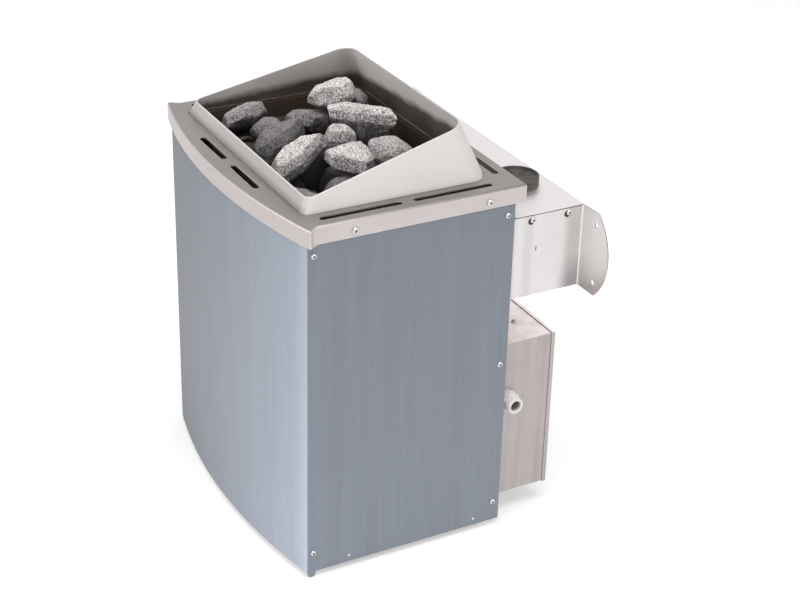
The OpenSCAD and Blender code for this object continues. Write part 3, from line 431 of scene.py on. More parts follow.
@dataclass(frozen=True)
class SheetSteel(Finish):
    """Brushed or plain steel sheet with smears, rubbed edges with painted highlights, painted light and shade
    by facing, and painted shade in creases.
    """

    colour: Colour = (0.6, 0.6, 0.6)
    roughness: float = 0.36
    metallic: float = 1.0
    grain: Grain = Grain.ALONG_X
    grain_share: float = 0.16
    cloud_share: float = 0.12
    wear_and_highlight_share: float = 0.5
    wear_and_highlight_radius: float = 0.0015
    # up, front and side: painted light and shade, tone factors for the faces that look up, to the front and
    # to the side.
    up: float = 1.0
    front: float = 1.0
    side: float = 1.0
    streak_share: float = 0.0
    streaks: tuple[float, float] = (55.0, 2.5)
    cloud_scale: float = 7.0
    # Painted shade in creases and recesses, found by ambient occlusion, and how far it looks.
    crease_shade: float = 0.0
    crease_shade_reach: float = 0.0022
    gloss_grain: float = 0.16
    gloss_smear: float = 0.10
    brush_depth: float = 0.00004

    def paint(self, bench: Bench, shader: bpy.types.Node, effects: Effects) -> None:
        """Base colour from grain, clouds and rubbed edges with painted highlights, painted light and shade by
        facing, and painted shade in creases; roughness and bump follow the grain and clouds.
        """
        place = bench.place()
        grain = self.effect(bench, effects.grain, Vector=bench.stretched(place, self.grain.value))
        cloud = self.effect(bench, effects.cloud, Vector=place, Scale=self.cloud_scale)
        wear_and_highlight = self.effect(bench, effects.wear_and_highlight, Vector=place, Radius=self.wear_and_highlight_radius)
        dark, pale = shade(self.colour, 1 - self.grain_share), shade(self.colour, 1 + self.grain_share)
        dull = shade(self.colour, 1 - 2.2 * self.cloud_share)
        base = bench.mix(grain["Mask"], dark, pale)
        base = bench.mix(bench.times(cloud["Mask"], self.cloud_share * 2), base, dull)
        bands = self.banded(bench, place, *self.streaks)
        # Painted light and shade by facing, and the streak bands.
        base = self.scaled(
            bench,
            base,
            self.painted_light_by_facing(bench, Facing.UP, self.up),
            self.painted_light_by_facing(bench, Facing.FRONT, self.front),
            self.painted_light_by_facing(bench, Facing.SIDE, self.side),
            bench.span(bands, 0.35, 0.62, 1.0 - self.streak_share, 1.0 + 0.3 * self.streak_share),
        )
        # Painted shade: darker where ambient occlusion finds creases, recesses and corners.
        if self.crease_shade > 0:
            hidden = bench.add("ShaderNodeAmbientOcclusion", {"samples": 8}, Distance=self.crease_shade_reach)
            shadow = bench.span(hidden.outputs["AO"], 0.45, 0.9, 1.0 - self.crease_shade, 1.0)
            base = self.scaled(bench, base, shadow)
        swing = bench.times(bench.minus(grain["Mask"], 0.5), self.gloss_grain)
        uneven = bench.plus(swing, bench.times(cloud["Smear"], self.gloss_smear))
        # Painted highlight: the edge mask brightens folds and rims as well as rubbed edges.
        worn_and_highlit = bench.times(wear_and_highlight["Mask"], self.wear_and_highlight_share)
        bench.fill(
            shader,
            Base_Color=bench.mix(worn_and_highlit, base, shade(self.colour, 1.35, 0.06)),
            Roughness=bench.plus(uneven, self.roughness, clamp=True),
            Metallic=self.metallic,
            Normal=self.bump(bench, grain["Height"], self.brush_depth, 0.5),
        )


@dataclass(frozen=True)
class CoatedSheet(Finish):
    """Blue-grey coated sheet, brushed both ways before it was coated.

    The front is painted with sheen: brighter from left to right and towards its foot, most beside the right
    fold, and the side is painted darker.
    """

    colour: Colour = (0.262, 0.289, 0.338)
    roughness: float = 0.42
    metallic: float = 0.35
    cross_brush: Colour = (60.0, 60.0, 1500.0)
    brush_share: float = 0.32
    brush_depth: float = 0.00006
    cloud_scale: float = 4.0
    wear_and_highlight_radius: float = 0.0018
    wear_and_highlight_share: float = 0.55
    streaks: tuple[float, float] = (70.0, 3.0)
    # side: painted shade, the side faces darker than the front.
    side: float = 0.88
    half_width: float = 0.22
    sheen: tuple[float, float] = (0.29, 1.42)
    fold_start: float = 0.196
    fold_end: float = 0.2195
    fold_sheen: float = 1.22
    top: float = 0.47
    foot: float = 0.03
    foot_sheen: float = 1.1

    def paint(self, bench: Bench, shader: bpy.types.Node, effects: Effects) -> None:
        """Crossed fine streaks, faint clouds, edges rubbed and painted with highlights to a paler tone,
        painted sheen on the front and painted shade on the side.
        """
        place = bench.place()
        upright = self.effect(bench, effects.grain, Vector=bench.stretched(place, Grain.ALONG_Z.value))
        level = self.effect(bench, effects.grain, Vector=bench.stretched(place, self.cross_brush))
        cloud = self.effect(bench, effects.cloud, Vector=place, Scale=self.cloud_scale)
        wear_and_highlight = self.effect(bench, effects.wear_and_highlight, Vector=place, Radius=self.wear_and_highlight_radius)
        cross = bench.plus(bench.times(upright["Mask"], 0.6), bench.times(level["Mask"], 0.4))
        dark, pale = shade(self.colour, 1 - self.brush_share), shade(self.colour, 1 + self.brush_share)
        base = bench.mix(cross, dark, pale)
        base = bench.mix(bench.times(cloud["Mask"], 0.10), base, shade(self.colour, 0.85))
        # Painted sheen: the front brighter from left to right, a painted highlight beside the right fold, and
        # brighter towards the foot.
        across, _, height = bench.xyz(place)
        sheen = bench.span(across, -self.half_width, self.half_width, *self.sheen)
        sheen = bench.times(sheen, bench.span(across, self.fold_start, self.fold_end, 1.0, self.fold_sheen))
        sheen = bench.times(sheen, bench.span(height, self.top, self.foot, 1.0, self.foot_sheen))
        bands = self.banded(bench, place, *self.streaks)
        # Painted shade on the side faces, the painted sheen on the front, and every face painted brighter
        # towards the foot.
        base = self.scaled(
            bench,
            base,
            self.painted_light_by_facing(bench, Facing.SIDE, self.side),
            self.painted_light_by_facing(bench, Facing.BOWED_FRONT, sheen),
            bench.span(height, self.top, self.foot, 0.95, 1.12),
            bench.span(bands, 0.3, 0.7, 0.95, 1.05),
        )
        # The edge mask paints the highlight along the folds as well as rubbed edges.
        bench.fill(
            shader,
            Base_Color=bench.mix(bench.times(wear_and_highlight["Mask"], self.wear_and_highlight_share), base, shade(self.colour, 1.6)),
            Roughness=bench.plus(bench.times(bench.minus(cross, 0.5), 0.25), self.roughness),
            Metallic=self.metallic,
            Normal=self.bump(bench, cross, self.brush_depth, 0.6),
        )


@dataclass(frozen=True)
class TintedSteel(SheetSteel):
    """The collar's steel: painted pale inside near its rim as a painted reflection, darker below where heat
    has tinted it and painted shade falls, and darker at its front foot as painted shade.

    The tinted and shaded part ends at a height that rises to the right and to the rear.
    """

    # Heat tint with painted shade, low on the inner walls.
    heat_tint_and_shade: Colour = (0.12, 0.09, 0.075)
    # A pale colour painted on the inner faces as a painted reflection.
    inside: Colour = (1.0, 0.95, 0.93)
    level: float = 0.5266
    blur: float = 0.006
    left: float = -0.19
    rise: tuple[float, float] = (0.08, 0.06)
    ragged: float = 0.016
    foot: float = 0.505
    lip: float = 0.517
    lip_shade_tones: tuple[float, float] = (0.42, 1.16)
    heat_tint_and_shade_share: float = 0.92

    def paint(self, bench: Bench, shader: bpy.types.Node, effects: Effects) -> None:
        """Sheet steel, then painted reflection on the inner faces, heat tinting with painted shade where
        faces look down and lie low, and painted shade at the front foot.
        """
        super().paint(bench, shader, effects)
        place = bench.place()
        inner = bench.span(bench.xyz(bench.normal())[2], 0.02, -0.08)
        across, depth, height = bench.xyz(place)
        bound = bench.times(bench.minus(across, self.left), self.rise[0])
        bound = bench.plus(bound, bench.times(depth, self.rise[1]))
        uneven = bench.times(bench.minus(bench.noise(place, 30.0, 5.0), 0.5), self.ragged)
        above = bench.plus(bench.minus(height, bound), uneven)
        lowness = bench.span(above, self.level + self.blur, self.level - self.blur)
        # Painted shade: the front lip darker towards its foot.
        shadow = bench.span(height, self.foot, self.lip, *self.lip_shade_tones)
        base = self.scaled(bench, self.so_far(shader), self.painted_light_by_facing(bench, Facing.FRONT, shadow))
        # Painted reflection: the inner faces take the pale inside colour.
        base = bench.mix(inner, base, self.inside)
        # Heat tinting with painted shade below the ragged level on the inner faces.
        share = bench.times(bench.times(inner, lowness), self.heat_tint_and_shade_share)
        bench.fill(shader, Base_Color=bench.mix(share, base, self.heat_tint_and_shade))


@dataclass(frozen=True)
class BracketSteel(SheetSteel):
    """Bright sheet with painted reflection in uneven upright bands, a painted shade line for the slit under
    the cover, and painted shade for oversize openings beside the screws.

    A band is the depth of its middle, its half width and how much it darkens.
    """

    # Painted reflection: darker upright bands on the side faces.
    bands: tuple[Colour, ...] = ((0.132, 0.010, 0.12), (0.202, 0.018, 0.24), (0.110, 0.004, 0.10))
    band_core: float = 0.35
    # Painted shade of an oversize opening beside each screw head.
    hole_shades: tuple[tuple[float, float], ...] = ((0.1352, 0.4500), (0.1897, 0.4500))
    hole_shade_radius: float = 0.0052
    # Painted shade line where the cover meets the side plate.
    cover_gap_shade: float = 0.4583
    cover_gap_shade_edge: tuple[float, float] = (0.0010, 0.0005)
    soft: float = 0.0008
    ear: float = 0.222
    low: tuple[float, float] = (0.392, 0.350)
    rear: tuple[float, float] = (0.175, 0.20)
    low_loss: float = 0.42
    # The tone of the painted shade marks, also used on the ears' rims.
    shade_tone: Colour = (0.02, 0.018, 0.017)

    def paint(self, bench: Bench, shader: bpy.types.Node, effects: Effects) -> None:
        """Sheet steel, then painted reflection bands by depth, darker towards the low rear corner, painted
        shade marks on the side faces and the ears' dark rims.
        """
        super().paint(bench, shader, effects)
        across, depth, height = bench.xyz(bench.place())
        along_x, along_y, _ = bench.xyz(bench.normal())
        aside = bench.span(bench.math("ABSOLUTE", along_x), 0.8, 0.95)
        low = bench.times(bench.span(height, *self.low, 0.0, self.low_loss), bench.span(depth, *self.rear))
        losses = [
            bench.span(bench.far(depth, middle), half, self.band_core * half, 0.0, loss)
            for middle, half, loss in self.bands
        ]
        tone = 1.0
        for loss in (*losses, low):
            tone = bench.times(tone, bench.minus(1.0, bench.times(loss, aside)))
        # Painted shade: the line under the cover and a disc beside each screw.
        dark = bench.span(bench.far(height, self.cover_gap_shade), *self.cover_gap_shade_edge, 0.0, 0.85)
        for y, z in self.hole_shades:
            legs = [bench.math("POWER", bench.minus(a, b), 2.0) for a, b in ((depth, y), (height, z))]
            reach = bench.math("SQRT", bench.plus(*legs))
            hole_shade = bench.span(reach, self.hole_shade_radius, self.hole_shade_radius - self.soft, 0.0, 0.93)
            dark = bench.most(dark, hole_shade)
        beyond = bench.span(bench.math("ABSOLUTE", across), self.ear, self.ear + 0.002)
        rim = bench.times(beyond, bench.span(bench.math("ABSOLUTE", along_y), 0.5, 0.3, 0.0, 0.85))
        dark = bench.most(bench.times(dark, aside), rim)
        base = self.scaled(bench, self.so_far(shader), tone)
        bench.fill(shader, Base_Color=bench.mix(dark, base, self.shade_tone))


@dataclass(frozen=True)
class ScorchedSteel(Finish):
    """Steel that glows in use: dark scale with rusty and bluish patches."""

    colour: Colour = (0.075, 0.062, 0.055)
    patch: Colour = (0.17, 0.10, 0.065)
    blue: Colour = (0.045, 0.05, 0.06)
    worn_and_highlit: Colour = (0.32, 0.27, 0.22)
    roughness: float = 0.62
    metallic: float = 0.55

    def paint(self, bench: Bench, shader: bpy.types.Node, effects: Effects) -> None:
        """Scale, patches and a slight pitting."""
        place = bench.place()
        cloud = self.effect(bench, effects.cloud, Vector=place, Scale=16.0)
        wear_and_highlight = self.effect(bench, effects.wear_and_highlight, Vector=place, Radius=0.0012)
        base = bench.mix(cloud["Mask"], self.colour, self.patch)
        base = bench.mix(bench.times(cloud["Smear"], 0.4), base, self.blue)
        bench.fill(
            shader,
            Base_Color=bench.mix(bench.times(wear_and_highlight["Mask"], 0.25), base, self.worn_and_highlit),
            Roughness=bench.plus(bench.times(cloud["Smear"], 0.2), self.roughness - 0.1),
            Metallic=self.metallic,
            Normal=self.bump(bench, bench.noise(place, 900.0, 4.0, 0.6), 0.0001, 0.5),
        )


@dataclass(frozen=True)
class BrokenRock(Finish):
    """Split dark rock with pale crystals, rubbed pale along its edges."""

    colour: Colour = (0.27, 0.242, 0.235)
    pale: Colour = (1.0, 0.92, 0.90)
    dark: Colour = (0.050, 0.037, 0.034)
    # Painted shade: stones darken towards the bottom of the bed.
    low_shade_bottom: float = 0.484
    low_shade_top: float = 0.512
    # Dusty pale tops with painted top light, fuller higher up.
    dust_and_top_light_low: float = 0.500
    dust_and_top_light_high: float = 0.530
    edge: tuple[float, float] = (0.505, 0.56)
    # Painted shade in the concave spots of the stones.
    hollow_shade: tuple[float, float] = (0.495, 0.44)
    cloud_scale: float = 26.0
    coarse_depth: float = 0.0012
    fine_depth: float = 0.0008
    roughness: float = 0.86

    def paint(self, bench: Bench, shader: bpy.types.Node, effects: Effects) -> None:
        """Salt-and-pepper crystals, dusty pale tops brightened further as painted top light, painted shade on
        undersides, low in the bed and in concave spots, and a broken bump.
        """
        place = bench.place()
        crystal = self.effect(bench, effects.crystal, Vector=place)
        cloud = self.effect(bench, effects.cloud, Vector=place, Scale=self.cloud_scale)
        info = bench.add("ShaderNodeNewGeometry").outputs
        edge = bench.span(info["Pointiness"], *self.edge)
        hollow_shade = bench.span(info["Pointiness"], *self.hollow_shade)
        upward = bench.xyz(info["Normal"])[2]
        height = bench.xyz(place)[2]
        # Pale tops: partly dust, partly painted top light.
        dust_and_top_light = bench.times(bench.span(upward, 0.1, 0.8), bench.span(cloud["Mask"], 0.0, 1.0, 0.7, 1.0))
        dust_and_top_light = bench.times(dust_and_top_light, bench.span(height, self.dust_and_top_light_low, self.dust_and_top_light_high, 0.5, 1.0))
        # Painted shade low in the bed and on faces that look down.
        lowness = bench.span(height, self.low_shade_top, self.low_shade_bottom)
        low_shade = bench.most(lowness, bench.span(upward, 0.15, -0.35, 0.0, 0.85))
        base = bench.mix(bench.times(cloud["Mask"], 0.4), self.colour, shade(self.colour, 0.6))
        # Painted shade darkens concave spots and the low and downward faces.
        for mask, share, tone in (
            (dust_and_top_light, 0.85, self.pale),
            (crystal["Pale"], 0.7, shade(self.pale, 1.2)),
            (crystal["Dark"], 0.85, self.dark),
            (edge, 0.45, self.pale),
            (hollow_shade, 0.7, self.dark),
            (low_shade, 0.88, self.dark),
        ):
            base = bench.mix(bench.times(mask, share), base, tone)
        # The stone's tone, which carries painted shade.
        stone = bench.add("ShaderNodeAttribute", {"attribute_name": StoneBed.tone_layer}).outputs["Fac"]
        coarse = self.bump(bench, cloud["Smear"], self.coarse_depth, 0.5)
        fine = bench.add("ShaderNodeBump", Height=crystal["Height"], Normal=coarse)
        bench.fill(fine, Distance=self.fine_depth, Strength=0.9)
        bench.fill(
            shader,
            Base_Color=self.scaled(bench, base, stone),
            Roughness=self.roughness,
            Normal=fine.outputs[0],
        )


@dataclass(frozen=True)
class Moulded(Finish):
    """Plastic, rubber or glazed ceramic: a fine moulded skin with scuffs and a little dust."""

    colour: Colour = (0.05, 0.045, 0.04)
    roughness: float = 0.5
    skin: float = 0.00006
    coat: float = 0.0
    scuff: float = 0.25
    # up: painted light and shade on the faces that look up.
    up: float = 1.0

    def paint(self, bench: Bench, shader: bpy.types.Node, effects: Effects) -> None:
        """A grainy skin, paler scuffed edges and uneven gloss."""
        place = bench.place()
        cloud = self.effect(bench, effects.cloud, Vector=place, Scale=30.0)
        wear_and_highlight = self.effect(bench, effects.wear_and_highlight, Vector=place, Radius=0.0008)
        base = bench.mix(bench.times(cloud["Mask"], 0.35), self.colour, shade(self.colour, 0.78))
        # Painted light and shade on the faces that look up.
        base = self.scaled(bench, base, self.painted_light_by_facing(bench, Facing.UP, self.up))
        bench.fill(
            shader,
            Base_Color=bench.mix(bench.times(wear_and_highlight["Mask"], self.scuff), base, shade(self.colour, 1.5, 0.04)),
            Roughness=bench.plus(bench.times(cloud["Smear"], 0.15), self.roughness - 0.05),
            Coat_Weight=self.coat,
            Normal=self.bump(bench, bench.noise(place, 2600.0, 3.0, 0.6), self.skin, 0.6),
        )


@dataclass(frozen=True)
class TurnedCap(Moulded):
    """Moulded plastic with a painted fan-shaped sheen, like that of a turned top."""

    axis: tuple[float, float] = (0.122, 0.168)

    def paint(self, bench: Bench, shader: bpy.types.Node, effects: Effects) -> None:
        """The moulded skin, then rays of painted sheen about the cap's axis."""
        super().paint(bench, shader, effects)
        across, depth, _ = bench.xyz(bench.place())
        turn = bench.math("ARCTAN2", bench.minus(depth, self.axis[1]), bench.minus(across, self.axis[0]))
        rays = bench.add("ShaderNodeTexNoise", {"noise_dimensions": "1D"}, Scale=1.7, Detail=1.5)
        bench.fill(rays, W=bench.math("ABSOLUTE", turn))
        sheen = bench.span(rays.outputs[0], 0.4, 0.62, 0.35, 1.6)
        base = self.scaled(bench, self.so_far(shader), self.painted_light_by_facing(bench, Facing.UP, sheen))
        bench.fill(shader, Base_Color=base)


BARE = {"grain": Grain.NONE, "wear_and_highlight_radius": 0.0005}
# In the finishes below, up, front and side are painted light and shade by facing, the ambient-occlusion
# darkening is painted shade in creases and recesses, and the edge shares paint highlights on folds and rims
# as well as rubbed edges.
FINISHES: dict[str, Finish] = {
    f.name: f
    for f in (
        CoatedSheet("casing_coat"),
        SheetSteel(
            "frame_steel",
            colour=(0.565, 0.518, 0.506),
            roughness=0.42,
            wear_and_highlight_share=0.7,
            up=0.58,
            front=0.93,
            crease_shade=0.5,
            crease_shade_reach=0.012,
        ),
        TintedSteel(
            "collar_steel",
            colour=(0.70, 0.668, 0.655),
            roughness=0.45,
            metallic=0.2,
            wear_and_highlight_share=0.6,
            front=0.62,
            side=1.09,
            crease_shade=0.4,
            crease_shade_reach=0.010,
        ),
        BracketSteel(
            "bracket_steel",
            colour=(0.70, 0.675, 0.67),
            roughness=0.40,
            grain=Grain.ALONG_Z,
            cloud_share=0.03,
            up=1.12,
            front=1.42,
        ),
        SheetSteel(
            "zinc_sheet",
            colour=(0.60, 0.54, 0.51),
            roughness=0.42,
            grain=Grain.NONE,
            cloud_share=0.2,
        ),
        ScorchedSteel("chamber_steel"),
        ScorchedSteel("element_steel", colour=(0.06, 0.05, 0.046), patch=(0.12, 0.085, 0.06)),
        SheetSteel("tank_steel", colour=(0.60, 0.59, 0.57), roughness=0.30),
        SheetSteel(
            "box_steel",
            colour=(0.475, 0.435, 0.43),
            roughness=0.44,
            grain=Grain.ALONG_Z,
            cloud_share=0.16,
            up=2.25,
            streak_share=0.12,
        ),
        SheetSteel("screw_steel", colour=(0.70, 0.69, 0.67), roughness=0.28, crease_shade=0.9, **BARE),
        BrokenRock("peridotite"),
        TurnedCap("cap_plastic", colour=(0.105, 0.085, 0.078), roughness=0.55, up=0.4),
        Moulded("gland_plastic", colour=(0.93, 0.90, 0.87), roughness=0.38, scuff=0.15),
        Moulded("seal_rubber", colour=(0.34, 0.31, 0.30), roughness=0.75),
        Moulded("terminal_ceramic", colour=(0.80, 0.77, 0.69), roughness=0.30, coat=0.4),
        SheetSteel("terminal_brass", colour=(0.72, 0.53, 0.25), roughness=0.30, **BARE),
        SheetSteel("sensor_copper", colour=(0.72, 0.40, 0.27), roughness=0.34, **BARE),
        Moulded("wire_silicone", colour=(0.60, 0.56, 0.50), roughness=0.7, skin=0.0002),
        Moulded("button_plastic", colour=(0.40, 0.03, 0.02), roughness=0.3, coat=0.5),
    )
}


# ---------------------------------------------------------------- pieces


def islands(work: bmesh.types.BMesh) -> list[set[int]]:
    """The vertex indices of each separate shell of a mesh."""
    work.verts.ensure_lookup_table()
    left, found = set(range(len(work.verts))), []
    while left:
        stack, seen = [left.pop()], set()
        while stack:
            i = stack.pop()
            seen.add(i)
            for e in work.verts[i].link_edges:
                j = e.other_vert(work.verts[i]).index
                if j in left:
                    left.discard(j)
                    stack.append(j)
        found.append(seen)
    return found


def split_concave(mesh: bmesh.types.BMesh) -> None:
    """Cuts every concave face into convex ones, so that rings keep their openings."""
    bmesh.ops.connect_verts_concave(mesh, faces=[f for f in mesh.faces if len(f.verts) > 4])


class Dresser:
    """Holds the frame and the materials, and finishes every piece the same way."""

    FLAT = math.radians(0.3)

    def __init__(self, frame: dict) -> None:
        """Builds the materials and gives each CAD node its own.
        """
        self.nodes: dict[str, bpy.types.Object] = frame["nodes"]
        record = frame["record"]
        self.slots: dict[str, str] = {s["node"]: s["material_slot"] for s in record["subparts"]}
        effects = Effects()
        self.materials = {name: finish.build(effects) for name, finish in FINISHES.items()}
        for node, obj in self.nodes.items():
            obj.data.materials.clear()
            obj.data.materials.append(self.materials[self.slots[node]])

    def joined(self, node: str) -> bmesh.types.BMesh:
        """A CAD node's mesh with its loose triangles joined."""
        mesh = bmesh.new()
        mesh.from_mesh(self.nodes[node].data)
        bmesh.ops.remove_doubles(mesh, verts=mesh.verts, dist=JOIN)
        return mesh

    def copy(self, node: str) -> bmesh.types.BMesh:
        """A CAD node's joined mesh with its flat faces whole."""
        mesh = self.joined(node)
        bmesh.ops.dissolve_limit(mesh, angle_limit=self.FLAT, verts=mesh.verts, edges=mesh.edges)
        split_concave(mesh)
        return mesh

    def finish(self, name: str, mesh: bpy.types.Mesh, node: str, smooth: float = 35.0) -> bpy.types.Object:
        """Puts a mesh in the scene in place of a node.

        Args:
            name: the piece's name.
            mesh: the finished mesh.
            node: the CAD node that it stands for.
            smooth: faces that meet at a smaller angle, in degrees, are shaded as one;
                zero keeps the mesh's own shading.

        Returns:
            The piece, riding on the node's body.
        """
        mesh.name = name
        mesh.materials.clear()
        mesh.materials.append(self.materials[self.slots[node]])
        piece = stand(name, mesh)
        if smooth > 0:
            mesh.shade_smooth()
            mesh.set_sharp_from_angle(angle=math.radians(smooth))
        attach(piece, self.nodes[node]["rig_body"])
        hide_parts(node)
        LOG.info("%s stands for %s: %d faces", name, node, len(mesh.polygons))
        return piece


@dataclass
class FoldedSheet:
    """A sheet piece whose sharp edges become folds and broken edges."""

    node: str
    name: str
    radius: float = 0.0005
    angle: float = 32.0
    segments: int = 2
    fold: float = 0.0
    fold_length: float = 0.06
    fold_segments: int = 4
    narrow: float = 0.0005
    plumb: float = 0.999
    crease: float = 50.0

    def build(self, dresser: Dresser) -> bpy.types.Object:
        """Bevels a copy of the node and stands it in its place."""
        work = dresser.copy(self.node)
        self.shape(work)
        split_concave(work)
        mesh = bpy.data.meshes.new(self.name)
        work.to_mesh(mesh)
        work.free()
        mesh.shade_smooth()
        mesh.set_sharp_from_angle(angle=math.radians(self.crease))
        holder = stand(self.name, mesh)
        even = holder.modifiers.new("even", "WEIGHTED_NORMAL")
        even.mode, even.weight, even.keep_sharp = "FACE_AREA", 100, True
        return dresser.finish(self.name, evaluated(holder), self.node, smooth=0.0)

    def shape(self, work: bmesh.types.BMesh) -> None:
        """Rounds the long upright folds, then every edge away from them that turns by more than the angle."""
        folded = set()
        if self.fold > 0:
            folded = set(self.round_edges(work, self.upright(work), self.fold, self.fold_segments))
        edges = [e for e in self.sharp(work) if folded.isdisjoint(e.verts)]
        self.round_edges(work, edges, self.radius, self.segments)

    def upright(self, work: bmesh.types.BMesh) -> list[bmesh.types.BMEdge]:
        """The long upright edges between wide faces; the rims of the sheet aren't among them."""
        found = []
        for edge in self.sharp(work):
            length, base = edge.calc_length(), edge.verts[0].co
            if length > self.fold_length and abs(base.z - edge.verts[1].co.z) > self.plumb * length:
                reach = [max((v.co - base).xy.length for v in face.verts) for face in edge.link_faces]
                if min(reach) > self.fold + self.narrow:
                    found.append(edge)
        return found

    def sharp(self, work: bmesh.types.BMesh) -> list[bmesh.types.BMEdge]:
        """The edges that turn by more than the angle."""
        limit = math.radians(self.angle)
        return [e for e in work.edges if len(e.link_faces) == 2 and e.calc_face_angle(0.0) > limit]

    @staticmethod
    def round_edges(
        work: bmesh.types.BMesh, edges: list[bmesh.types.BMEdge], radius: float, segments: int
    ) -> list[bmesh.types.BMVert]:
        """Bevels the given edges and returns the corners that this makes."""
        settings = {"profile": 0.5, "affect": "EDGES", "clamp_overlap": False}
        return bmesh.ops.bevel(work, geom=edges, offset=radius, segments=segments, **settings)["verts"]


@dataclass
class TopFrame(FoldedSheet):
    """The slotted frame: one wide fold round its top and down the tips of its horns."""

    horn_x: float = 0.2312
    horn_end: float = 0.0013
    level: float = 1e-5
    upright_z: float = 0.2
    skirt_least: float = 0.01

    def shape(self, work: bmesh.types.BMesh) -> None:
        """Joins each horn's narrow end into one edge, then rounds the rim and the horns together."""
        tips = [v for v in work.verts if abs(v.co.x) > self.horn_x]
        bmesh.ops.remove_doubles(work, verts=tips, dist=self.horn_end)
        top = max(v.co.z for v in work.verts)
        edges = []
        for edge in self.sharp(work):
            on_top = all(abs(v.co.z - top) < self.level for v in edge.verts)
            tip = all(abs(v.co.x) > self.horn_x for v in edge.verts)
            if tip or (on_top and self.outside(edge)):
                edges.append(edge)
        self.round_edges(work, edges, self.fold, self.fold_segments)

    def outside(self, edge: bmesh.types.BMEdge) -> bool:
        """Whether the edge has an upright face that belongs to the skirt."""
        for face in edge.link_faces:
            height = max(v.co.z for v in face.verts) - min(v.co.z for v in face.verts)
            if abs(face.normal.z) < self.upright_z and height > self.skirt_least:
                return True
        return False


@dataclass
class RockTree:
    """The node tree that turns a plain block into broken rock."""

    LAYERS: ClassVar[tuple[tuple[str, float, float], ...]] = (
        ("Coarse", 26.0, 1.0),
        ("Chips", 75.0, 1.0),
        ("Fine", 320.0, 3.0),
    )

    coarse: float = 0.0018
    chips: float = 0.0015
    fine: float = 0.0008
    seed_step: float = 3.7

    def build(self) -> bpy.types.NodeTree:
        """Makes the tree: three sizes of roughness along the normal, then the material.

        A layer is its input's name, its noise's scale and its detail.
        """
        sizes = {"Coarse": self.coarse, "Chips": self.chips, "Fine": self.fine}
        bench, source = geometry_group("broken_rock", {**sizes, "Seed": 0.0, "Material": "Material"})
        island = bench.add("GeometryNodeInputMeshIsland").outputs["Island Index"]
        seed = bench.plus(bench.times(island, self.seed_step), source["Seed"])
        place = bench.add("GeometryNodeInputPosition").outputs[0]
        total = 0.0
        for key, scale, detail in self.LAYERS:
            noise = bench.add("ShaderNodeTexNoise", {"noise_dimensions": "4D"}, Vector=place, W=seed)
            bench.fill(noise, Scale=scale, Detail=detail, Roughness=0.6)
            swing = bench.times(bench.minus(noise.outputs[0], 0.5), 2.0)
            total = bench.plus(total, bench.times(swing, source[key]))
        offset = bench.grown(bench.add("GeometryNodeInputNormal").outputs[0], total)
        moved = bench.add("GeometryNodeSetPosition", Geometry=source["Geometry"], Offset=offset)
        return close_group(bench, moved.outputs[0], source["Material"])


def evaluated(obj: bpy.types.Object) -> bpy.types.Mesh:
    """The mesh that an object's modifiers give; the object itself is removed."""
    bpy.context.view_layer.update()
    graph = bpy.context.evaluated_depsgraph_get()
    mesh = bpy.data.meshes.new_from_object(obj.evaluated_get(graph))
    bpy.data.objects.remove(obj)
    return mesh


def tree_modifier(obj: bpy.types.Object, tree: bpy.types.NodeTree, **values: object) -> None:
    """Adds a Geometry Nodes modifier and sets its inputs by identifier."""
    modifier = obj.modifiers.new(tree.name, "NODES")
    modifier.node_group = tree
    for item in tree.interface.items_tree:
        if item.item_type == "SOCKET" and item.in_out == "INPUT" and item.name in values:
            modifier[item.identifier] = values[item.name]


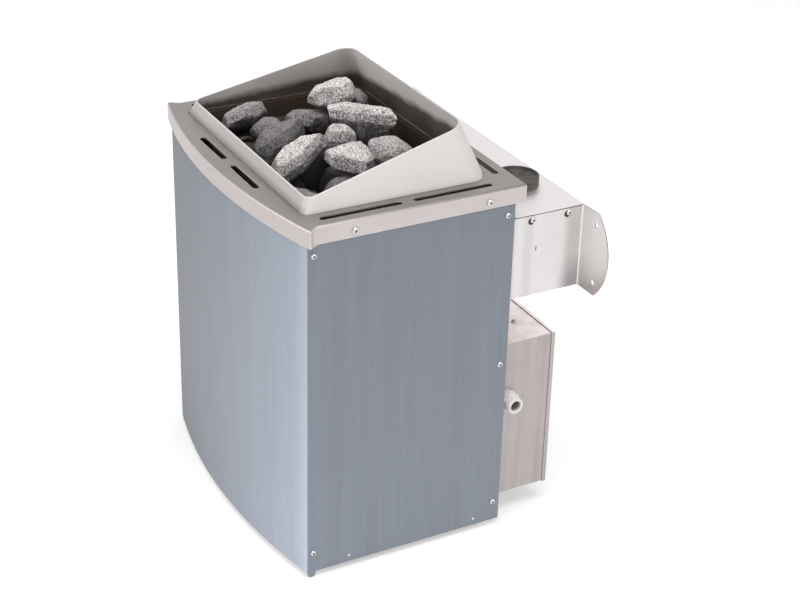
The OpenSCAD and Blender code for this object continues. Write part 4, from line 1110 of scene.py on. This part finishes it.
@dataclass
class StoneBed:
    """All sauna stones: the loose ones on top in full detail, the bed below plainer."""

    tone_layer: ClassVar[str] = "tone"

    node: str = "sauna_stones"
    top_voxel: float = 0.0014
    bed_bevel: float = 0.004
    bed_level: float = 0.4872
    cuts: int = 13
    first_seed: int = 100
    seed_step: float = 11.3
    chip_share: tuple[float, float] = (0.05, 0.2)
    # Each loose stone's tone: partly its own, partly painted shade on the lower stones.
    tones_and_shade: tuple[float, ...] = (0.6, 0.4, 0.42, 0.42, 1.0, 0.3, 0.36, 1.0, 0.85, 0.95, 0.68, 0.92, 0.35, 0.62)
    # The bed below darkened as painted shade.
    bed_shade_tone: float = 0.28
    bed_skin: tuple[float, float, float] = (0.0015, 0.001, 0.0)

    def part(self, work: bmesh.types.BMesh, keep: set[int]) -> bpy.types.Object:
        """An object with only the given vertices of a mesh."""
        piece = work.copy()
        piece.verts.ensure_lookup_table()
        bmesh.ops.delete(piece, geom=[v for v in piece.verts if v.index not in keep], context="VERTS")
        mesh = bpy.data.meshes.new("stone")
        piece.to_mesh(mesh)
        piece.free()
        return stand("stone", mesh)

    @classmethod
    def toned(cls, mesh: bpy.types.Mesh, tone: float) -> bpy.types.Mesh:
        """Writes how pale a stone is, with painted shade for the lower stones and the bed, into its mesh, for
        the finish to read.
        """
        layer = mesh.attributes.new(cls.tone_layer, "FLOAT", "POINT")
        layer.data.foreach_set("value", [tone] * len(mesh.vertices))
        return mesh

    def chip(self, mesh: bpy.types.Mesh, rng: random.Random) -> None:
        """Splits corners off a stone along random planes, so that it gets flat broken faces.

        Args:
            mesh: the stone, closed and nearly convex.
            rng: the stone's own source of chance.
        """
        work = bmesh.new()
        work.from_mesh(mesh)
        centre = sum((v.co for v in work.verts), Vector()) / len(work.verts)
        for k in range(self.cuts):
            lift = 0.9 if k % 2 else 0.15
            normal = Vector((rng.gauss(0, 1), rng.gauss(0, 1), lift + 0.35 * rng.gauss(0, 1))).normalized()
            reach = max((v.co - centre).dot(normal) for v in work.verts)
            spot = centre + normal * reach * (1 - rng.uniform(*self.chip_share))
            every = [*work.verts, *work.edges, *work.faces]
            plane = {"plane_co": spot, "plane_no": normal, "clear_outer": True, "dist": 1e-6}
            cut = bmesh.ops.bisect_plane(work, geom=every, **plane)["geom_cut"]
            bmesh.ops.holes_fill(work, edges=[g for g in cut if isinstance(g, bmesh.types.BMEdge)], sides=0)
        work.to_mesh(mesh)
        work.free()

    def build(self, dresser: Dresser) -> None:
        """Makes the bed and the loose stones."""
        material = dresser.materials[dresser.slots[self.node]]
        tree = RockTree().build()
        work = dresser.joined(self.node)
        work.verts.ensure_lookup_table()
        top, bed = [], set()
        for stone in islands(work):
            high = max(work.verts[i].co.z for i in stone)
            if high > self.bed_level:
                top.append(stone)
            else:
                bed |= stone
        top.sort(key=lambda s: tuple(sum((work.verts[i].co for i in s), Vector()) / len(s)))
        below = self.part(work, bed)
        bevel = below.modifiers.new("break", "BEVEL")
        bevel.width, bevel.segments = self.bed_bevel, 2
        divide = below.modifiers.new("divide", "SUBSURF")
        divide.subdivision_type, divide.levels, divide.render_levels = "SIMPLE", 1, 1
        skin = dict(zip(("Coarse", "Chips", "Fine"), self.bed_skin))
        tree_modifier(below, tree, **skin, Seed=5.0, Material=material)
        dresser.finish("stones_below", self.toned(evaluated(below), self.bed_shade_tone), self.node, smooth=60.0)
        for i, stone in enumerate(top):
            obj = self.part(work, stone)
            self.chip(obj.data, random.Random(self.first_seed + i))
            remesh = obj.modifiers.new("skin", "REMESH")
            remesh.mode, remesh.voxel_size = "VOXEL", self.top_voxel
            soften = obj.modifiers.new("soften", "SMOOTH")
            soften.factor, soften.iterations = 0.5, 1
            tree_modifier(obj, tree, Seed=float(i) * self.seed_step, Material=material)
            mesh = self.toned(evaluated(obj), self.tones_and_shade[i % len(self.tones_and_shade)])
            dresser.finish(f"stone_{i + 1:02d}", mesh, self.node, smooth=180.0)
        work.free()


@dataclass
class ScrewHead:
    """One pan-head screw or domed rivet as a mesh of rings, its axis along +Z, seated at zero."""

    radius: float
    height: float
    shank: float
    shank_radius: float
    recess: float = 0.0016
    arm: float = 0.5
    arm_width: float = 0.17
    slope: float = 2.5
    dome: float = 0.75
    segments: int = 48
    rings: int = 18

    def surface(self, x: float, y: float) -> float:
        """Height of the head over a point, with the cross recess."""
        r = min(1.0, math.hypot(x, y) / self.radius)
        z = self.height * (1 - self.dome * r**4)
        arm, reach = self.radius * self.arm_width, self.radius * self.arm
        narrow, wide = sorted((abs(x), abs(y)))
        into = self.slope * min((arm - narrow) / arm, (reach - wide) / reach)
        return z - self.recess * max(0.0, min(1.0, into))

    def circle(self, r: float) -> list[tuple[float, float]]:
        """Places round a circle."""
        turns = (2 * math.pi * i / self.segments for i in range(self.segments))
        return [(r * math.cos(a), r * math.sin(a)) for a in turns]

    def mesh(self) -> bpy.types.Mesh:
        """Makes the closed mesh."""
        work = bmesh.new()
        centre = work.verts.new((0, 0, self.surface(0, 0)))
        rings = []
        for k in range(1, self.rings + 1):
            circle = self.circle(self.radius * k / self.rings)
            rings.append([work.verts.new((x, y, self.surface(x, y))) for x, y in circle])
        for r, z in ((self.radius, 0.0), (self.shank_radius, 0.0), (self.shank_radius, -self.shank)):
            rings.append([work.verts.new((x, y, z)) for x, y in self.circle(r)])
        for i in range(self.segments):
            j = (i + 1) % self.segments
            work.faces.new((centre, rings[0][i], rings[0][j]))
            for low, high in zip(rings, rings[1:]):
                work.faces.new((low[i], high[i], high[j], low[j]))
        work.faces.new(list(reversed(rings[-1])))
        mesh = bpy.data.meshes.new("screw_head")
        work.to_mesh(mesh)
        work.free()
        return mesh


@dataclass
class Fasteners:
    """A group of equal screws or rivets, placed by a node tree on the places that the CAD gives."""

    node: str
    name: str
    head: ScrewHead

    @staticmethod
    def tree() -> bpy.types.NodeTree:
        """The tree that sets one head on each point, turned along the point's own axis."""
        name = "heads_on_points"
        if name in bpy.data.node_groups:
            return bpy.data.node_groups[name]
        bench, source = geometry_group(name, {"Head": "Object", "Twist": 3.0, "Material": "Material"})
        head = bench.add("GeometryNodeObjectInfo", Object=source["Head"])
        axis = bench.add("GeometryNodeInputNamedAttribute", {"data_type": "FLOAT_VECTOR"}, Name="axis")
        aim = bench.add("FunctionNodeAlignRotationToVector", {"axis": "Z"}, Vector=axis.outputs["Attribute"])
        spin = bench.add("FunctionNodeRandomValue", {"data_type": "FLOAT"}, Seed=4)
        bench.feed(spin.inputs[3], source["Twist"])
        turn = bench.add("FunctionNodeAxisAngleToRotation", Axis=(0.0, 0.0, 1.0), Angle=spin.outputs[1])
        both = bench.add("FunctionNodeRotateRotation", {"rotation_space": "LOCAL"}, Rotation=aim.outputs[0])
        bench.fill(both, Rotate_By=turn.outputs[0])
        placed = bench.add("GeometryNodeInstanceOnPoints", Points=source["Geometry"])
        bench.fill(placed, Instance=head.outputs["Geometry"], Rotation=both.outputs[0])
        return close_group(bench, placed.outputs[0], source["Material"])

    def seats(self, dresser: Dresser) -> list[tuple[Vector, Vector]]:
        """Each screw's seat, under its head, and its axis, read from the CAD node."""
        work = dresser.joined(self.node)
        found = []
        for island in islands(work):
            points = [work.verts[i].co for i in island]
            low = Vector(min(p[k] for p in points) for k in range(3))
            high = Vector(max(p[k] for p in points) for k in range(3))
            size = high - low
            k = min(range(3), key=lambda n: abs(size[(n + 1) % 3] - size[(n + 2) % 3]))
            middle = (low + high) / 2
            spread = [max((p - middle)[n] ** 2 for n in range(3) if n != k) for p in points]
            wide = [p[k] for p, s in zip(points, spread) if s > 0.5 * max(spread)]
            sign = 1.0 if sum(wide) / len(wide) > middle[k] else -1.0
            axis = Vector((0, 0, 0))
            axis[k] = sign
            seat = middle.copy()
            seat[k] = min(wide, key=lambda v: v * sign)
            found.append((seat, axis))
        work.free()
        found.sort(key=lambda s: tuple(s[0]))
        return found

    def build(self, dresser: Dresser) -> bpy.types.Object:
        """Places the heads and turns the result into one mesh."""
        seats = self.seats(dresser)
        points = bpy.data.meshes.new("seats")
        points.from_pydata([s for s, _ in seats], [], [])
        axes = points.attributes.new("axis", "FLOAT_VECTOR", "POINT")
        axes.data.foreach_set("vector", [c for _, a in seats for c in a])
        holder = stand("seats", points)
        head = stand("head", self.head.mesh())
        tree_modifier(holder, self.tree(), Head=head, Material=dresser.materials[dresser.slots[self.node]])
        mesh = evaluated(holder)
        bpy.data.objects.remove(head)
        return dresser.finish(self.name, mesh, self.node, smooth=40.0)


# ---------------------------------------------------------------- studio


@dataclass(frozen=True)
class PhotoCamera:
    """The camera of the photograph, from a fit to its lines. Angles in degrees, pixels of 800 x 600."""

    place: Colour = (1.88763, -0.97097, 1.38786)
    azimuth: float = 62.407
    elevation: float = 26.076
    roll: float = 1.021
    focal_px: float = 1731.33
    centre_px: tuple[float, float] = (369.884, 245.899)
    width_px: float = 800.0
    height_px: float = 600.0
    sensor: float = 36.0

    def build(self) -> bpy.types.Object:
        """Makes the camera and makes it the scene's."""
        a, e, r = (math.radians(v) for v in (self.azimuth, self.elevation, self.roll))
        back = Vector((math.sin(a) * math.cos(e), -math.cos(a) * math.cos(e), math.sin(e)))
        right = Vector((math.cos(a), math.sin(a), 0.0))
        down = -back.cross(right)
        x = right * math.cos(r) - down * math.sin(r)
        y = -(right * math.sin(r) + down * math.cos(r))
        data = bpy.data.cameras.new("camera")
        data.sensor_width = self.sensor
        data.lens = self.focal_px / self.width_px * self.sensor
        data.shift_x = 0.5 - self.centre_px[0] / self.width_px
        data.shift_y = (self.centre_px[1] - self.height_px / 2) / self.width_px
        data.clip_start, data.clip_end = 0.05, 50.0
        camera = stand("camera", data)
        turn = Matrix((x, y, back)).transposed().to_4x4()
        camera.matrix_world = Matrix.Translation(self.place) @ turn
        bpy.context.scene.camera = camera
        return camera


@dataclass(frozen=True)
class Lamp:
    """One soft area lamp aimed at the heater."""

    name: str
    place: Colour
    size: float
    power: float
    target: Colour = (0.0, 0.0, 0.35)

    def build(self) -> None:
        """Makes the lamp."""
        data = bpy.data.lights.new(self.name, "AREA")
        data.shape, data.size, data.energy = "DISK", self.size, self.power
        lamp = stand(self.name, data)
        lamp.location = self.place
        lamp.rotation_euler = (Vector(self.target) - Vector(self.place)).to_track_quat("-Z", "Y").to_euler()


@dataclass
class Studio:
    """A plain pale floor, a white surround and soft lamps."""

    floor_size: float = 14.0
    floor_level: float = -0.0002
    floor_colour: Colour = (0.9, 0.9, 0.9)
    floor_glow: float = 0.35
    surround: float = 0.5
    lamps: tuple[Lamp, ...] = (
        Lamp("key", (-1.2, -3.4, 2.0), 2.6, 42.0),
        Lamp("side", (3.6, 0.9, 1.4), 2.2, 14.0),
        Lamp("top", (0.9, -0.2, 3.4), 2.2, 48.0),
    )

    def build(self) -> None:
        """Makes the world, the floor and the lamps."""
        self.world()
        self.floor()
        for lamp in self.lamps:
            lamp.build()
        scene = bpy.context.scene
        scene.view_settings.view_transform = "Standard"

    @staticmethod
    def seen(bench: Bench) -> Socket:
        """One where the camera, a reflection or a refraction sees the surface itself."""
        path = bench.add("ShaderNodeLightPath")
        some = bench.plus(path.outputs["Is Camera Ray"], path.outputs["Is Glossy Ray"])
        return bench.plus(some, path.outputs["Is Transmission Ray"], clamp=True)

    def world(self) -> None:
        """A white surround that lights the heater at a plain level."""
        world = bpy.data.worlds.new("surround")
        world.use_nodes = True
        bpy.context.scene.world = world
        bench = Bench(world.node_tree)
        strength = bench.span(self.seen(bench), 0.0, 1.0, self.surround, 1.0)
        light = bench.add("ShaderNodeBackground", Color=(1.0, 1.0, 1.0), Strength=strength)
        bench.add("ShaderNodeOutputWorld", Surface=light.outputs[0])

    def floor(self) -> None:
        """A pale floor whose colour reaches white where no shadow falls."""
        half = self.floor_size / 2
        mesh = bpy.data.meshes.new("floor")
        square = ((-half, -half), (half, -half), (half, half), (-half, half))
        mesh.from_pydata([(x, y, self.floor_level) for x, y in square], [], [(0, 1, 2, 3)])
        floor = stand("floor", mesh)
        material = bpy.data.materials.new("floor")
        material.use_nodes = True
        bench = Bench(material.node_tree)
        shader = bench.add("ShaderNodeBsdfPrincipled", Base_Color=self.floor_colour, Roughness=0.9)
        glow = bench.times(self.seen(bench), self.floor_glow)
        bench.fill(shader, Emission_Color=(1.0, 1.0, 1.0), Emission_Strength=glow)
        bench.add("ShaderNodeOutputMaterial", Surface=shader.outputs[0])
        mesh.materials.append(material)


# ---------------------------------------------------------------- the heater

SHEETS: tuple[FoldedSheet, ...] = (
    FoldedSheet("outer_casing", "casing_wrap", radius=0.0006, fold=0.002, fold_length=0.3),
    TopFrame("top_frame", "slotted_frame", radius=0.0004, fold=0.0028),
    FoldedSheet("stone_collar", "collar_wall", radius=0.0007),
    FoldedSheet("bracket_left", "bracket_side_left", radius=0.0003, fold=0.002),
    FoldedSheet("bracket_right", "bracket_side_right", radius=0.0003, fold=0.002),
    FoldedSheet("bracket_cover", "bracket_lid", radius=0.0006),
    FoldedSheet("terminal_box", "connection_box", radius=0.0004),
    FoldedSheet("terminal_cover", "connection_box_cover", radius=0.0006),
    FoldedSheet("filler_cap", "grooved_cap", radius=0.0003),
    FoldedSheet("gland_body", "gland_base", radius=0.0004),
    FoldedSheet("gland_nut", "gland_dome", radius=0.0006),
)

PAN = ScrewHead(4.0 * MM, 2.4 * MM, 7.0 * MM, 1.9 * MM)
WIDE_PAN = ScrewHead(4.75 * MM, 2.4 * MM, 7.0 * MM, 1.9 * MM)
RIVET = ScrewHead(2.0 * MM, 0.8 * MM, 4.5 * MM, 1.0 * MM, recess=0.0)
FASTENERS: tuple[Fasteners, ...] = (
    Fasteners("skirt_screws", "frame_pan_screws", WIDE_PAN),
    Fasteners("casing_screws", "casing_pan_screws", PAN),
    Fasteners("bracket_screws", "bracket_pan_screws", PAN),
    Fasteners("box_screws", "box_pan_screws", PAN),
    Fasteners("casing_rivets", "casing_domed_rivets", RIVET),
)


def main() -> None:
    """Loads the frame and builds the scene."""
    logging.basicConfig(level=logging.INFO, format="%(message)s")
    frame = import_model()
    PhotoCamera().build()
    Studio().build()
    dresser = Dresser(frame)
    for sheet in SHEETS:
        sheet.build(dresser)
    for group in FASTENERS:
        group.build(dresser)
    StoneBed().build(dresser)


if __name__ == "__main__":
    main()
